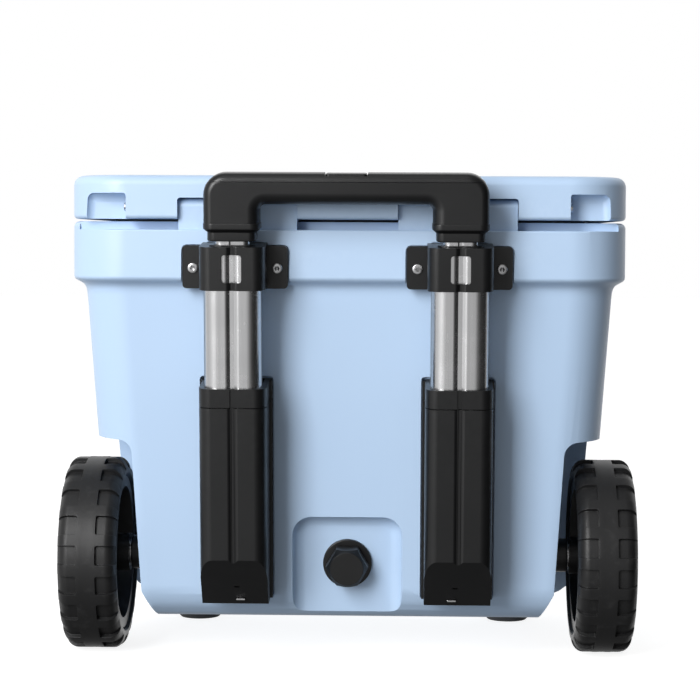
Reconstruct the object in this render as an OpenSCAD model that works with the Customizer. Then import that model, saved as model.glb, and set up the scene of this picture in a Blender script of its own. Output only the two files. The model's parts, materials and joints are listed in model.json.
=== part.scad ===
// Wheeled hard cooler with a telescoping pull handle.
// The back, with the handle, drain and wheels, faces -Y; the latches face +Y.
// The origin is on the floor under the middle of the cooler. Sizes are in millimetres.

/* [Body] */
// Width of the rim across the cooler
rim_w = 579; // [560:1:620]
// Depth of the rim from back to front
rim_d = 410; // [390:1:450]
// Height of the rim's top above the floor
rim_top = 460.5; // [450:0.5:490]
// Height of the rim band
rim_h = 58.5; // [54:0.5:64]
// How far the body stands back under the rim
rim_step = 12.5; // [10:0.5:14]
// Height of the body's underside above the floor
ground_clearance = 40; // [36:1:44]
// Radius of the upright corners
corner_r = 50; // [40:1:60]
// Radius of the edge between the sides and the underside
base_r = 38; // [30:1:42]
// Lean of the sides and the front, in degrees
side_draft = 3.6; // [3:0.1:4]
// Lean of the back and of the handle, in degrees
back_draft = 5.5; // [5:0.1:6]
// Thickness of the moulded skins
skin = 4; // [3:0.5:5]
// Radius of the rim's top edge
rim_round = 8; // [6:0.5:9]

/* [Tub] */
// Wall from the rim's side to the tub
tub_wall_side = 54.5; // [52:0.5:60]
// Wall from the rim's back to the tub
tub_wall_back = 60; // [58:1:64]
// Wall from the rim's front to the tub
tub_wall_front = 50; // [46:1:58]
// Thickness of the foam under the tub
foam_floor = 41; // [38:1:43]
// Width of the tub at its floor
tub_floor_w = 350; // [320:1:360]
// Depth of the tub at its floor
tub_floor_d = 262; // [240:1:270]
// Radius of the tub's upright corners
tub_corner_r = 32; // [26:1:36]

/* [Lid] */
// Gap between the rim and the lid
lid_gap = 2.5; // [2:0.1:3]
// Height of the lid
lid_h = 45; // [44:0.5:50]
// Radius of the lid's top edge
lid_round = 10; // [8:0.5:12]
// Thickness of the lid's solid border
lid_border = 20; // [18:1:24]
// Depth of the plug under the lid
lid_plug_h = 8; // [6:0.5:10]

/* [Hinge] */
// Distance of the hinge pin from the rim's back face
hinge_inset = 16; // [15:0.5:17]
// Height of the hinge pin above the rim's top
hinge_rise = 15; // [14.5:0.5:15.5]
// Radius of the hinge pins
hinge_pin_r = 4.5; // [4:0.1:5]
// Radius of the body's hinge knuckles
knuckle_r = 8.8; // [8.4:0.1:9]
// Distance of a body knuckle's inner end from the middle
knuckle_in = 52; // [48:0.2:58]
// Distance of a body knuckle's outer end from the middle
knuckle_out = 174.3; // [168:0.1:180]
// Depth of the ledge under the hinge
ledge_drop = 8.5; // [8:0.5:10]
// Room between the ledge and the lid as it swings
lid_swing_gap = 1.5; // [1:0.5:3]
// Distance of the ledge's ends from the rim's sides
ledge_end = 10.5; // [8:0.5:16]
// Distance of a corner notch's inner wall from the middle
notch_in = 227.7; // [222:0.1:232]
// Width of a corner notch
notch_w = 44; // [38:0.2:45]
// Height of a corner notch
notch_h = 26.5; // [22:0.5:28]

/* [Latches] */
// Distance of a latch from the middle
latch_x = 150; // [130:1:180]
// Width of a latch
latch_w = 62; // [54:1:70]
// Thickness of a latch
latch_t = 13; // [11:0.5:14]
// Length of a latch below its pin
latch_drop = 62; // [56:1:66]
// Radius of the latch pins
latch_pin_r = 3; // [2.5:0.1:3.5]
// How far the latches stand out from the rim's front
front_reach = 28; // [27:0.5:32]

/* [Handle] */
// Distance of a handle tube from the middle
tube_x = 115; // [110:0.5:120]
// Distance of the tube centres behind the rim's back face, at the clamps
handle_standoff = 32; // [31:0.5:35]
// Height of the clamps' centres above the floor
clamp_z = 414; // [410:1:418]
// Width of an outer tube
outer_tube_w = 59; // [58:0.5:60]
// Depth of an outer tube
outer_tube_d = 30; // [29.5:0.5:31]
// Wall of an outer tube
outer_tube_t = 2; // [1.6:0.1:2.2]
// Wall of a middle tube
middle_tube_t = 1.6; // [1.4:0.1:1.7]
// Wall of an inner tube
inner_tube_t = 1.6; // [1.4:0.1:1.8]
// Depth of the groove along the outer tubes
groove_deep = 2.2; // [1.8:0.1:2.4]
// Width of the groove along the outer tubes
groove_w = 12; // [10:0.5:14]
// Depth of the groove along the middle and inner tubes
small_groove_deep = 0.8; // [0.5:0.1:0.9]
// Plastic between one tube and the next, at the sides
bush_side = 4.15; // [3.5:0.05:4.5]
// Plastic between one tube's groove and the next tube
bush_thin = 0.4; // [0.3:0.05:0.5]
// Length of a casing below the clamps' centres
casing_drop = 352.5; // [347:0.5:356]
// Travel of each stage of the handle
stage_travel = 230; // [200:1:240]

/* [Clamps and casings] */
// Width of a clamp across its ears
clamp_w = 108; // [104:1:112]
// Height of a clamp
clamp_h = 44; // [42:1:50]
// Thickness of a clamp's ears
ear_t = 8; // [6:0.5:9]
// How far the ears sit below a clamp's middle
ear_drop = 3; // [0:0.5:4]
// How far the clamp screws sit below the middle of the ears
clamp_screw_drop = 1; // [0:0.5:3]
// Wall of the plastic around an outer tube
tube_cover = 3.7; // [3:0.1:4]
// Width of the window in a clamp
window_w = 20; // [16:1:24]
// Height of the window in a clamp
window_h = 28; // [24:1:30]
// Distance of a clamp screw from its tube
clamp_screw_x = 44; // [43:0.5:46]
// Width of a casing at its base
casing_w = 74; // [72:1:76]
// Depth of the channel in the body that takes a casing
channel_deep = 6; // [4:0.5:8]
// Length of a casing's back above its foot
casing_h = 231.5; // [221:0.5:239]
// Height of the collar at the front of a casing's mouth
collar_h = 20; // [16:0.5:26]
// Slope down from the back of the mouth to its front
mouth_drop = 1; // [0:0.5:4]
// Height of the slanted toe
toe_h = 53; // [46:1:58]
// How far the toe slants back
toe_run = 30; // [26:1:34]

/* [Grip] */
// Height of the grip's top above the clamps' centres
grip_top = 96; // [95:0.2:100]
// Height of the grip bar
bar_h = 30.5; // [30:0.5:32]
// Depth of the grip, back to front
grip_d = 34; // [32:0.5:34]
// Width of a grip leg
leg_w = 56.5; // [54:0.5:58]
// Radius of the grip's outer corners
grip_corner_r = 22; // [18:1:24]
// Radius of the grip's long edges
grip_edge_r = 9; // [7:0.5:10]
// Height of the grip's top cover
cover_h = 8.7; // [8:0.1:9]
// Length of the release button
button_w = 41; // [36:1:44]
// Travel of the release button
button_travel = 4; // [3:0.5:4]

/* [Wheels] */
// Radius of a tyre
tyre_r = 103.3; // [100:0.1:105]
// Width of a tyre
tyre_w = 62; // [57:1:64]
// Distance of a tyre's middle from the middle of the cooler
wheel_x = 271.5; // [270:0.5:275]
// Distance of the axles in front of the rim's back face
axle_inset = 110; // [106:1:114]
// Radius of the axles
axle_r = 8; // [7:0.5:9]
// Tread pockets around a tyre
tread_count = 20; // [16:1:24]
// Depth of the tread pockets
tread_deep = 4; // [3:0.5:5]
// Outer radius of the wheel rim
wheel_rim_r = 82; // [76:1:84]
// Radius of the wheel hub
hub_r = 20; // [18:0.5:24]
// Windows between a wheel's spokes
spoke_count = 8; // [6:1:10]
// Distance of a wheel arch's wall from the middle, at the axle
arch_x = 219.5; // [217:0.5:222]
// How far the top of a wheel arch's wall leans out
arch_lean = 7; // [4:1:9]
// Gap between a tyre and the arch around it
arch_gap = 25; // [20:1:28]

/* [Drain] */
// Height of the drain's centre above the floor
drain_z = 101.3; // [100:0.1:105]
// Radius of the drain's flange
drain_flange_r = 25.8; // [24:0.1:27]
// Radius of the drain's barrel
drain_barrel_r = 16; // [15:0.5:17]
// Radius of the drain's bore
drain_bore_r = 12; // [11:0.5:12.5]
// Size across the flats of the plug's cap
plug_af = 38.5; // [36:0.5:40]
// Height of the plug's cap
plug_cap_h = 22; // [18:0.5:24]
// Width of the recess around the drain
drain_recess_w = 120; // [112:1:126]
// Depth of the recess around the drain
drain_recess_deep = 14; // [12:0.5:16]
// Height of the recess above the drain's centre
drain_recess_above = 52.5; // [47:0.5:58]

/* [Feet] */
// Distance of a front foot from the middle
foot_x = 180; // [170:1:186]
// Distance of the front feet in front of the axles
foot_ahead = 190; // [180:1:200]
// Radius of a rubber foot
foot_r = 24; // [20:1:26]
// Height of a rubber foot
foot_h = 14; // [10:1:16]

/* [Fits] */
// Clearance between parts that slide or turn
run_gap = 0.3; // [0.2:0.05:0.4]
// Radial clearance of a shaft in its bore
shaft_gap = 0.06; // [0.04:0.01:0.09]

/* [Hidden] */
$fn = 48;
RING_STEPS = 8;
EPS = 0.01;
FAR = 600;

// Heights
rim_bottom = rim_top - rim_h;
lid_bottom = rim_top + lid_gap;
lid_top = lid_bottom + lid_h;
hinge_z = rim_top + hinge_rise;
tub_floor_z = ground_clearance + 2 * skin + foam_floor;

// The back face is placed so that the origin is under the middle of the whole object
grip_overhang = (grip_top - grip_edge_r) * sin(back_draft)
    + (grip_d / 2 - grip_edge_r) * cos(back_draft) + grip_edge_r;
rear_reach = handle_standoff + grip_overhang;
back_y = rear_reach - (rear_reach + rim_d + front_reach) / 2;
front_y = back_y + rim_d;
hinge_y = back_y + hinge_inset;
axle_y = back_y + axle_inset;

// Handle frame: z runs up a tube, y = 0 is the tubes' centre plane, -y is outwards
body_face = (handle_standoff + rim_step) * cos(back_draft)
    + (rim_bottom - clamp_z) * sin(back_draft);
pocket_floor = handle_standoff + 4.5;
pocket_top = clamp_h / 2 + 1;
pocket_bottom = -clamp_h / 2 - ear_drop - 1;
clamp_screw_z = -ear_drop - clamp_screw_drop;
casing_back = body_face + channel_deep;
cover_d = outer_tube_d / 2 + tube_cover;
saddle_w = outer_tube_w + 2 * tube_cover;
casing_foot = -casing_drop;
tube_drop = casing_drop - toe_h - 4;
bar_bottom = grip_top - bar_h;
cavity_floor = bar_bottom + 3.7;

// Height in the handle frame of a point z above the floor, y behind the tubes' plane
function back_face_height(z, y) = (z - clamp_z - y * sin(back_draft)) / cos(back_draft);

module handle_frame() {
    translate([0, back_y - handle_standoff, clamp_z])
        rotate([back_draft, 0, 0])
            children();
}

module both_sides() {
    children();
    mirror([1, 0, 0])
        children();
}

// A rectangle with round corners, centred
module round_rect(w, h, r) {
    square([w - 2 * r, h], center = true);
    square([w, h - 2 * r], center = true);
    for (sx = [-1, 1], sy = [-1, 1])
        translate([sx * (w / 2 - r), sy * (h / 2 - r)])
            circle(r);
}

// Points of a rounded rectangle: level is [z, half width, back y, front y, corner radius]
function ring(level) = [
    for (corner = [[1, 1, 0], [-1, 1, 90], [-1, 0, 180], [1, 0, 270]], k = [0:RING_STEPS])
        let (a = corner[2] + 90 * k / RING_STEPS, r = level[4])
        [
            corner[0] * (level[1] - r) + r * cos(a),
            (corner[1] == 1 ? level[3] - r : level[2] + r) + r * sin(a),
            level[0]
        ]
];

// A drafted block through a list of levels, from the lowest up
module levels_block(levels) {
    n = 4 * (RING_STEPS + 1);
    top = len(levels) - 1;
    points = [for (level = levels) each ring(level)];
    walls = [
        for (i = [0:top - 1], k = [0:n - 1])
            let (a = i * n + k, b = i * n + (k + 1) % n)
            each [[a, a + n, b], [b, a + n, b + n]]
    ];
    floor_face = [for (k = [0:n - 1]) k];
    top_face = [for (k = [n - 1:-1:0]) top * n + k];
    polyhedron(points, concat([floor_face], walls, [top_face]));
}

// ---------------------------------------------------------------- body

// One level of the body under the rim, set back by inset from the drafted faces
function body_level(z, inset) =
    let (fall = rim_bottom - z)
    [
        z,
        rim_w / 2 - rim_step - fall * tan(side_draft) - inset,
        back_y + rim_step + fall * tan(back_draft) + inset,
        front_y - rim_step - fall * tan(side_draft) - inset,
        max(corner_r - inset, 8)
    ];

function rim_level(z, inset) =
    [z, rim_w / 2 - inset, back_y + inset, front_y - inset, corner_r + rim_step - inset];

BASE_STEPS = [90, 75, 50, 25, 0];

module body_block(inset) {
    r = base_r - inset;
    floor_z = ground_clearance + inset;
    levels_block(concat(
        [for (a = BASE_STEPS) body_level(floor_z + r * (1 - sin(a)), inset + r * (1 - cos(a)))],
        [body_level(rim_bottom, inset)]
    ));
}

module rim_block(inset) {
    r = rim_round - inset / 2;
    top = rim_top - inset;
    levels_block(concat(
        [rim_level(rim_bottom - 7 + inset, rim_step + inset)],
        [rim_level(rim_bottom + inset, inset + 1)],
        [rim_level(rim_bottom + 8 + inset, inset)],
        [for (a = [0, 30, 60, 90]) rim_level(top - r * (1 - sin(a)), inset + r * (1 - cos(a)))]
    ));
}

ARCH_FOOT_IN = 17;
ARCH_FOOT_H = 30;
ARCH_TOP_R = 12;

// Outline of a wheel arch across the cooler, grown inwards by grow
function arch_outline(grow) =
    let (
        x = arch_x - grow,
        top = 2 * tyre_r + arch_gap + grow,
        r = ARCH_TOP_R + grow,
        foot_x = x - ARCH_FOOT_IN,
        foot_z = ground_clearance + ARCH_FOOT_H
    )
    concat(
        [[FAR, 0], [foot_x, 0], [foot_x, ground_clearance], [x - 2, foot_z], [x, tyre_r]],
        [for (a = [0:15:90]) [x + arch_lean + r * (1 - cos(a)), top - r + r * sin(a)]],
        [[FAR, top + 18]]
    );

arch_front_y = axle_y + tyre_r + arch_gap - 13;

module wheel_arch(grow) {
    intersection() {
        translate([0, arch_front_y + grow, 0])
            rotate([90, 0, 0])
                linear_extrude(FAR)
                    polygon(arch_outline(grow));
        rotate([90, 0, 90])
            linear_extrude(FAR) {
                round_h = 70;
                top = 2 * tyre_r + arch_gap + 30 + grow;
                translate([arch_front_y + grow - FAR, -1])
                    square([FAR, top - round_h + 1]);
                translate([arch_front_y + grow - FAR, -1])
                    square([FAR - round_h, top + 1]);
                translate([arch_front_y + grow - round_h, top - round_h])
                    circle(round_h);
            }
    }
}

// Recess in the back around the drain, open at the bottom
module drain_recess(grow) {
    bottom = -clamp_z;
    top = back_face_height(drain_z + drain_recess_above, body_face) + grow;
    w = drain_recess_w + 2 * grow;
    r = 21 + grow;
    handle_frame()
        translate([0, body_face + drain_recess_deep + grow, 0])
            rotate([90, 0, 0])
                linear_extrude(FAR) {
                    translate([-w / 2, bottom])
                        square([w, top - bottom - r]);
                    translate([-w / 2 + r, bottom])
                        square([w - 2 * r, top - bottom]);
                    for (sx = [-1, 1])
                        translate([sx * (w / 2 - r), top - r])
                            circle(r);
                }
}

// Channel in the back that a casing sits in
module casing_channel(grow) {
    h = casing_h + 6 + 2 * grow;
    handle_frame()
        translate([tube_x, casing_back + grow, casing_foot - 3 - grow + h / 2])
            rotate([90, 0, 0])
                linear_extrude(FAR)
                    round_rect(casing_w + 3 + 2 * grow, h, 3 + grow);
}

// Pocket in the rim that a clamp sits in
module clamp_pocket(grow) {
    handle_frame()
        translate([tube_x, pocket_floor + grow, (pocket_top + pocket_bottom) / 2])
            rotate([90, 0, 0])
                linear_extrude(FAR)
                    round_rect(
                        clamp_w + 3 + 2 * grow,
                        pocket_top - pocket_bottom + 2 * grow,
                        5 + grow
                    );
}

// Ledge along the back of the rim that the lid's back edge swings through
module hinge_relief(grow) {
    half_w = rim_w / 2 - ledge_end + grow;
    reach = hinge_inset + hinge_rise - lid_gap + lid_swing_gap + grow;
    translate([-half_w, back_y - FAR, rim_top - ledge_drop - grow])
        cube([2 * half_w, FAR + reach, FAR]);
}

module recesses(grow) {
    both_sides() {
        wheel_arch(grow);
        casing_channel(grow);
        clamp_pocket(grow);
    }
    drain_recess(grow);
    hinge_relief(grow);
}

axle_insert_r = axle_r + 6;
clamp_screw_l = 22;
clamp_screw_r = 2.5;
foot_y = axle_y + foot_ahead;
foot_boss_z = ground_clearance + 16;
keeper_w = 34;
keeper_h = 26;
keeper_t = 5;
keeper_z = rim_top - keeper_h;
rib_reach = 8;
rib_short = 3;
keeper_boss = 22;
boss_r = 8;

// Solid lumps moulded into the skin where something is fastened
module bosses() {
    both_sides() {
        handle_frame()
            for (sx = [-1, 1])
                translate([tube_x + sx * clamp_screw_x, pocket_floor - 1, clamp_screw_z])
                    rotate([-90, 0, 0])
                        cylinder(r = boss_r, h = clamp_screw_l);
        translate([latch_x - keeper_w / 2, front_y - keeper_boss, keeper_z - keeper_h / 2])
            cube([keeper_w, keeper_boss, keeper_h]);
        translate([foot_x, foot_y, ground_clearance - 1])
            cylinder(r = foot_r / 2, h = foot_boss_z - ground_clearance + 2);
    }
}

// The hollow between the two skins
module cavity() {
    difference() {
        union() {
            body_block(skin);
            rim_block(skin);
        }
        recesses(skin);
        bosses();
    }
}

// Where one level of the tub lies, grown outwards by grow
function tub_level(z, share, grow) =
    let (
        top_w = rim_w / 2 - tub_wall_side,
        top_back = back_y + tub_wall_back,
        top_front = front_y - tub_wall_front
    )
    [
        z,
        top_w + (tub_floor_w / 2 - top_w) * share + grow,
        top_back + (tub_mid_y - tub_floor_d / 2 - top_back) * share - grow,
        top_front + (tub_mid_y + tub_floor_d / 2 - top_front) * share + grow,
        tub_corner_r + grow
    ];

tub_mid_y = (back_y + tub_wall_back + front_y - tub_wall_front) / 2 + 4;

TUB_BASE_R = 14;

// Outside of the liner's side wall at a height z
function liner_outside_x(z) =
    tub_level(z, (rim_top - z) / (rim_top - tub_floor_z + skin - TUB_BASE_R), skin)[1];

axle_insert_l = arch_x - liner_outside_x(tyre_r + axle_insert_r) - run_gap;

module tub_block(grow) {
    r = TUB_BASE_R;
    levels_block([
        tub_level(tub_floor_z - grow, 1, grow - r),
        tub_level(tub_floor_z - grow + r * 0.3, 1, grow - r * 0.3),
        tub_level(tub_floor_z - grow + r, 1, grow),
        tub_level(rim_top + (grow > 0 ? 0 : 1), 0, grow)
    ]);
}

web_foot = rim_top - 30;

// The two hinge knuckles on the rim
module body_knuckles() {
    both_sides()
        translate([knuckle_in, hinge_y, 0])
            rotate([90, 0, 90])
                linear_extrude(knuckle_out - knuckle_in) {
                    translate([0, hinge_z])
                        circle(knuckle_r);
                    polygon([
                        [-knuckle_r, hinge_z],
                        [-knuckle_r + 2.4, web_foot],
                        [knuckle_r + 4, web_foot],
                        [knuckle_r, hinge_z]
                    ]);
                }
}

module body_holes() {
    translate([-FAR, hinge_y, hinge_z])
        rotate([0, 90, 0])
            cylinder(r = hinge_pin_r, h = 2 * FAR);
    both_sides() {
        translate([arch_x - axle_insert_l, axle_y, tyre_r])
            rotate([0, 90, 0])
                cylinder(r = axle_insert_r, h = axle_insert_l + 10);
        handle_frame()
            for (sx = [-1, 1])
                translate([tube_x + sx * clamp_screw_x, pocket_floor - 1, clamp_screw_z])
                    rotate([-90, 0, 0])
                        cylinder(r = clamp_screw_r, h = clamp_screw_l - 3);
        translate([foot_x, foot_y, foot_h - 1])
            cylinder(r = foot_screw_r, h = foot_screw_l + 2);
    }
    drain_hole();
}

module foot_bosses() {
    both_sides()
        translate([foot_x, foot_y, foot_h])
            cylinder(r1 = foot_r + 3, r2 = foot_r + 11, h = foot_boss_z - foot_h);
}

module body_shell() {
    color("lightsteelblue")
        difference() {
            union() {
                difference() {
                    union() {
                        body_block(0);
                        rim_block(0);
                        foot_bosses();
                    }
                    recesses(0);
                }
                body_knuckles();
            }
            cavity();
            tub_block(skin);
            body_holes();
        }
}

module inner_liner() {
    color("whitesmoke")
        difference() {
            tub_block(skin);
            tub_block(0);
            drain_hole();
        }
}

module body_foam() {
    color("khaki")
        difference() {
            cavity();
            tub_block(skin);
            both_sides()
                translate([arch_x - axle_insert_l, axle_y, tyre_r])
                    rotate([0, 90, 0])
                        cylinder(r = axle_insert_r, h = axle_insert_l + 10);
            drain_hole();
        }
}

// ---------------------------------------------------------------- feet

foot_screw_r = 2.5;
foot_screw_l = 26;
foot_head_r = 5.2;
foot_head_h = 3.5;
foot_head_z = 2.5;
foot_lead = 1.5;

module front_feet() {
    color("dimgray")
        both_sides()
            translate([foot_x, foot_y, 0])
                difference() {
                    union() {
                        cylinder(r1 = foot_r - foot_lead, r2 = foot_r, h = foot_lead);
                        translate([0, 0, foot_lead])
                            cylinder(r = foot_r, h = foot_h - foot_lead);
                    }
                    translate([0, 0, -1])
                        cylinder(r = foot_head_r + 0.8, h = foot_head_z + foot_head_h + 1);
                    cylinder(r = foot_screw_r, h = foot_h + 1);
                }
}

module foot_screws() {
    color("silver")
        both_sides()
            translate([foot_x, foot_y, foot_head_z]) {
                cylinder(r = foot_head_r, h = foot_head_h);
                translate([0, 0, foot_head_h])
                    cylinder(r = foot_screw_r, h = foot_screw_l - 2 * foot_head_h - 1);
            }
}

// ---------------------------------------------------------------- lid

lid_cavity_back = back_y + 45;
lid_cavity_front = front_y - lid_border;
lid_cavity_d = lid_cavity_front - lid_cavity_back;
lid_cavity_y = (lid_cavity_front + lid_cavity_back) / 2;
lid_cavity_w = rim_w - 2 * lid_border;
bush_r = hinge_pin_r + 1.8;
bush_l = 24;
lid_side_gap = 0.5;

function lid_level(z, inset) =
    [z, rim_w / 2 - inset, back_y + inset, front_y - inset, corner_r + rim_step - inset];

module lid_block() {
    levels_block(concat(
        [for (a = [90, 45, 0]) lid_level(lid_bottom + 4 * (1 - sin(a)), 4 * (1 - cos(a)))],
        [for (a = [0, 30, 60, 90])
            lid_level(lid_top - lid_round * (1 - sin(a)), lid_round * (1 - cos(a)))]
    ));
}

// Space in the lid for the body's knuckles
module knuckle_slot() {
    x0 = knuckle_in - lid_side_gap;
    x1 = knuckle_out + lid_side_gap;
    translate([x0, back_y - 5, lid_bottom - 5])
        cube([x1 - x0, 5 + hinge_inset + knuckle_r + 5, hinge_z + knuckle_r + 0.5 - lid_bottom + 5]);
}

// Notch behind each corner that shows the end of a hinge pin
module corner_notch() {
    translate([notch_in, back_y - 5, lid_bottom - 5])
        cube([notch_w, 5 + hinge_inset + 14, notch_h + 5]);
}

latch_pin_z = lid_bottom + 27;
latch_pin_y = front_y + 10;
bracket_t = 5;

module lid_shell() {
    color("lightsteelblue")
        difference() {
            lid_block();
            translate([0, lid_cavity_y, lid_bottom - 1])
                linear_extrude(lid_h - 6 + 1)
                    round_rect(lid_cavity_w, lid_cavity_d, 40);
            both_sides() {
                knuckle_slot();
                corner_notch();
            }
            translate([-FAR, hinge_y, hinge_z])
                rotate([0, 90, 0])
                    cylinder(r = hinge_pin_r + shaft_gap, h = 2 * FAR);
            hinge_bush_places()
                cylinder(r = bush_r, h = bush_l);
        }
}

module lid_liner() {
    color("whitesmoke")
        translate([0, lid_cavity_y, 0])
            difference() {
                union() {
                    translate([0, 0, lid_bottom])
                        linear_extrude(skin)
                            round_rect(lid_cavity_w, lid_cavity_d, 40);
                    translate([0, lid_plug_y - lid_cavity_y, lid_bottom - lid_plug_h])
                        linear_extrude(lid_plug_h + 1)
                            round_rect(lid_plug_w, lid_plug_d, tub_corner_r);
                }
                translate([0, lid_plug_y - lid_cavity_y, lid_bottom - 1.5])
                    gasket_ring(2);
            }
}

tub_open_w = rim_w - 2 * tub_wall_side;
tub_open_d = rim_d - tub_wall_back - tub_wall_front;
lid_plug_y = back_y + tub_wall_back + tub_open_d / 2;
lid_plug_w = tub_open_w - 16;
lid_plug_d = tub_open_d - 16;
gasket_w = 6;

module gasket_ring(h) {
    translate([0, 0, -h])
        linear_extrude(2 * h)
            difference() {
                round_rect(tub_open_w + 16 + 2 * gasket_w, tub_open_d + 16 + 2 * gasket_w, 40);
                round_rect(tub_open_w + 16, tub_open_d + 16, 34);
            }
}

module lid_foam() {
    color("khaki")
        translate([0, lid_cavity_y, lid_bottom + skin])
            linear_extrude(lid_h - 6 - skin)
                round_rect(lid_cavity_w, lid_cavity_d, 40);
}

module lid_gasket() {
    color("dimgray")
        translate([0, lid_plug_y, rim_top + run_gap])
            linear_extrude(lid_bottom + 0.5 - rim_top - run_gap)
                difference() {
                    round_rect(tub_open_w + 16 + 2 * gasket_w, tub_open_d + 16 + 2 * gasket_w, 40);
                    round_rect(tub_open_w + 16, tub_open_d + 16, 34);
                }
}

// ---------------------------------------------------------------- hinge

pin_end_x = notch_in + 3.3;
pin_inner_x = 10;

// Runs its children at the start of each bush, pointing outwards
module hinge_bush_places() {
    both_sides()
        for (x = [knuckle_in - lid_side_gap - bush_l, knuckle_out + lid_side_gap])
            translate([x, hinge_y, hinge_z])
                rotate([0, 90, 0])
                    children();
}

module hinge_pins() {
    color("silver")
        both_sides()
            translate([pin_inner_x, hinge_y, hinge_z])
                rotate([0, 90, 0])
                    cylinder(r = hinge_pin_r, h = pin_end_x - pin_inner_x);
}

module hinge_bushes() {
    color("white")
        hinge_bush_places()
            difference() {
                cylinder(r = bush_r, h = bush_l);
                translate([0, 0, -1])
                    cylinder(r = hinge_pin_r + shaft_gap, h = bush_l + 2);
            }
}

// ---------------------------------------------------------------- latches

bracket_h = 26;
bracket_plate_t = 2;
bracket_eye_r = 7;
rib_w = 12;

// Outline of a latch bracket's ear, seen from the side
module bracket_outline() {
    translate([front_y, latch_pin_z - bracket_h / 2])
        square([bracket_plate_t, bracket_h]);
    translate([front_y, latch_pin_z - bracket_h / 2])
        square([latch_pin_y - front_y, bracket_h]);
    translate([latch_pin_y, latch_pin_z])
        circle(bracket_eye_r);
}

module latch_brackets() {
    color("black")
        both_sides()
            difference() {
                union() {
                    for (sx = [-1, 1])
                        translate([latch_x + sx * (latch_w / 2 + run_gap + bracket_t / 2), 0, 0])
                            rotate([90, 0, 90])
                                translate([0, 0, -bracket_t / 2])
                                    linear_extrude(bracket_t)
                                        bracket_outline();
                    translate([
                        latch_x - latch_w / 2 - run_gap,
                        front_y,
                        latch_pin_z - bracket_h / 2
                    ])
                        cube([latch_w + 2 * run_gap, bracket_plate_t, bracket_h]);
                }
                latch_pin_shape(latch_pin_r);
            }
}

latch_pin_l = latch_w + 2 * (run_gap + bracket_t);

module latch_pin_shape(r) {
    translate([latch_x - latch_pin_l / 2, latch_pin_y, latch_pin_z])
        rotate([0, 90, 0])
            cylinder(r = r, h = latch_pin_l);
}

module latch_pins() {
    color("silver")
        both_sides()
            latch_pin_shape(latch_pin_r);
}

// Side outline of a latch about its pin: a boss, a flat arm and a finger lip
module latch_outline() {
    circle(6.5);
    translate([-1, -latch_drop])
        square([latch_t - 1, latch_drop]);
    translate([latch_t - 6, -latch_drop + 5])
        circle(5);
    translate([latch_t - 6, -latch_drop])
        square([front_reach - 10 - latch_t + 6, 5]);
}

module latch_one(side) {
    color("black")
        difference() {
            translate([side * latch_x - latch_w / 2, latch_pin_y, latch_pin_z])
                rotate([90, 0, 90])
                    linear_extrude(latch_w)
                        latch_outline();
            translate([side * latch_x - FAR / 2, latch_pin_y, latch_pin_z])
                rotate([0, 90, 0])
                    cylinder(r = latch_pin_r + shaft_gap, h = FAR);
            translate([
                side * latch_x - rib_w / 2 - run_gap,
                latch_pin_y - 8,
                latch_pin_z - latch_drop - 10
            ])
                cube([rib_w + 2 * run_gap, 8 + latch_t - 5, latch_drop - 6]);
        }
}

module latch_left() {
    latch_one(-1);
}

module latch_right() {
    latch_one(1);
}

// Plate on the rim's front with a rib that the latch's channel grips
module keepers() {
    color("black")
        both_sides() {
            translate([latch_x - keeper_w / 2, front_y, keeper_z - keeper_h / 2])
                cube([keeper_w, keeper_t, keeper_h]);
            translate([
                latch_x - rib_w / 2,
                front_y + keeper_t - 1,
                keeper_z - keeper_h / 2 + rib_short
            ])
                cube([rib_w, rib_reach + 1, keeper_h - 2 * rib_short]);
        }
}

// ---------------------------------------------------------------- handle tubes

// Two round lobes with a groove between them, front and back
module lobe_profile(w, d, slot_w, slot_deep) {
    difference() {
        union() {
            for (sx = [-1, 1])
                translate([sx * (w - d) / 2, 0])
                    circle(d / 2);
            square([w - d, d], center = true);
        }
        for (sy = [-1, 1])
            translate([0, sy * d / 2])
                square([slot_w, 2 * slot_deep], center = true);
    }
}

middle_tube_w = outer_tube_w - 2 * (outer_tube_t + bush_side);
middle_tube_d = outer_tube_d - 2 * (outer_tube_t + groove_deep + bush_thin + run_gap);
inner_tube_w = middle_tube_w - 2 * (middle_tube_t + bush_side);
inner_tube_d = middle_tube_d
    - 2 * (middle_tube_t + small_groove_deep + bush_thin + run_gap);

module outer_profile(grow) {
    lobe_profile(
        outer_tube_w + 2 * grow,
        outer_tube_d + 2 * grow,
        groove_w - 2 * grow,
        groove_deep
    );
}

middle_groove_w = groove_w - 3;

module middle_profile(grow) {
    lobe_profile(
        middle_tube_w + 2 * grow,
        middle_tube_d + 2 * grow,
        middle_groove_w - 2 * grow,
        small_groove_deep
    );
}

inner_groove_w = groove_w - 6;

module inner_profile(grow) {
    lobe_profile(
        inner_tube_w + 2 * grow,
        inner_tube_d + 2 * grow,
        inner_groove_w - 2 * grow,
        small_groove_deep
    );
}

module on_tube(side) {
    handle_frame()
        translate([side * tube_x, 0, 0])
            children();
}

module outer_tube(side) {
    color("silver")
        on_tube(side)
            translate([0, 0, -tube_drop])
                linear_extrude(tube_drop + clamp_h / 2 - flange_t)
                    difference() {
                        outer_profile(0);
                        outer_profile(-outer_tube_t);
                    }
}

module outer_tube_left() {
    outer_tube(-1);
}

module outer_tube_right() {
    outer_tube(1);
}

flange_t = 1.8;
slipper_h = 20;
middle_drop = tube_drop - 5;
middle_top = clamp_h / 2;

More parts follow.
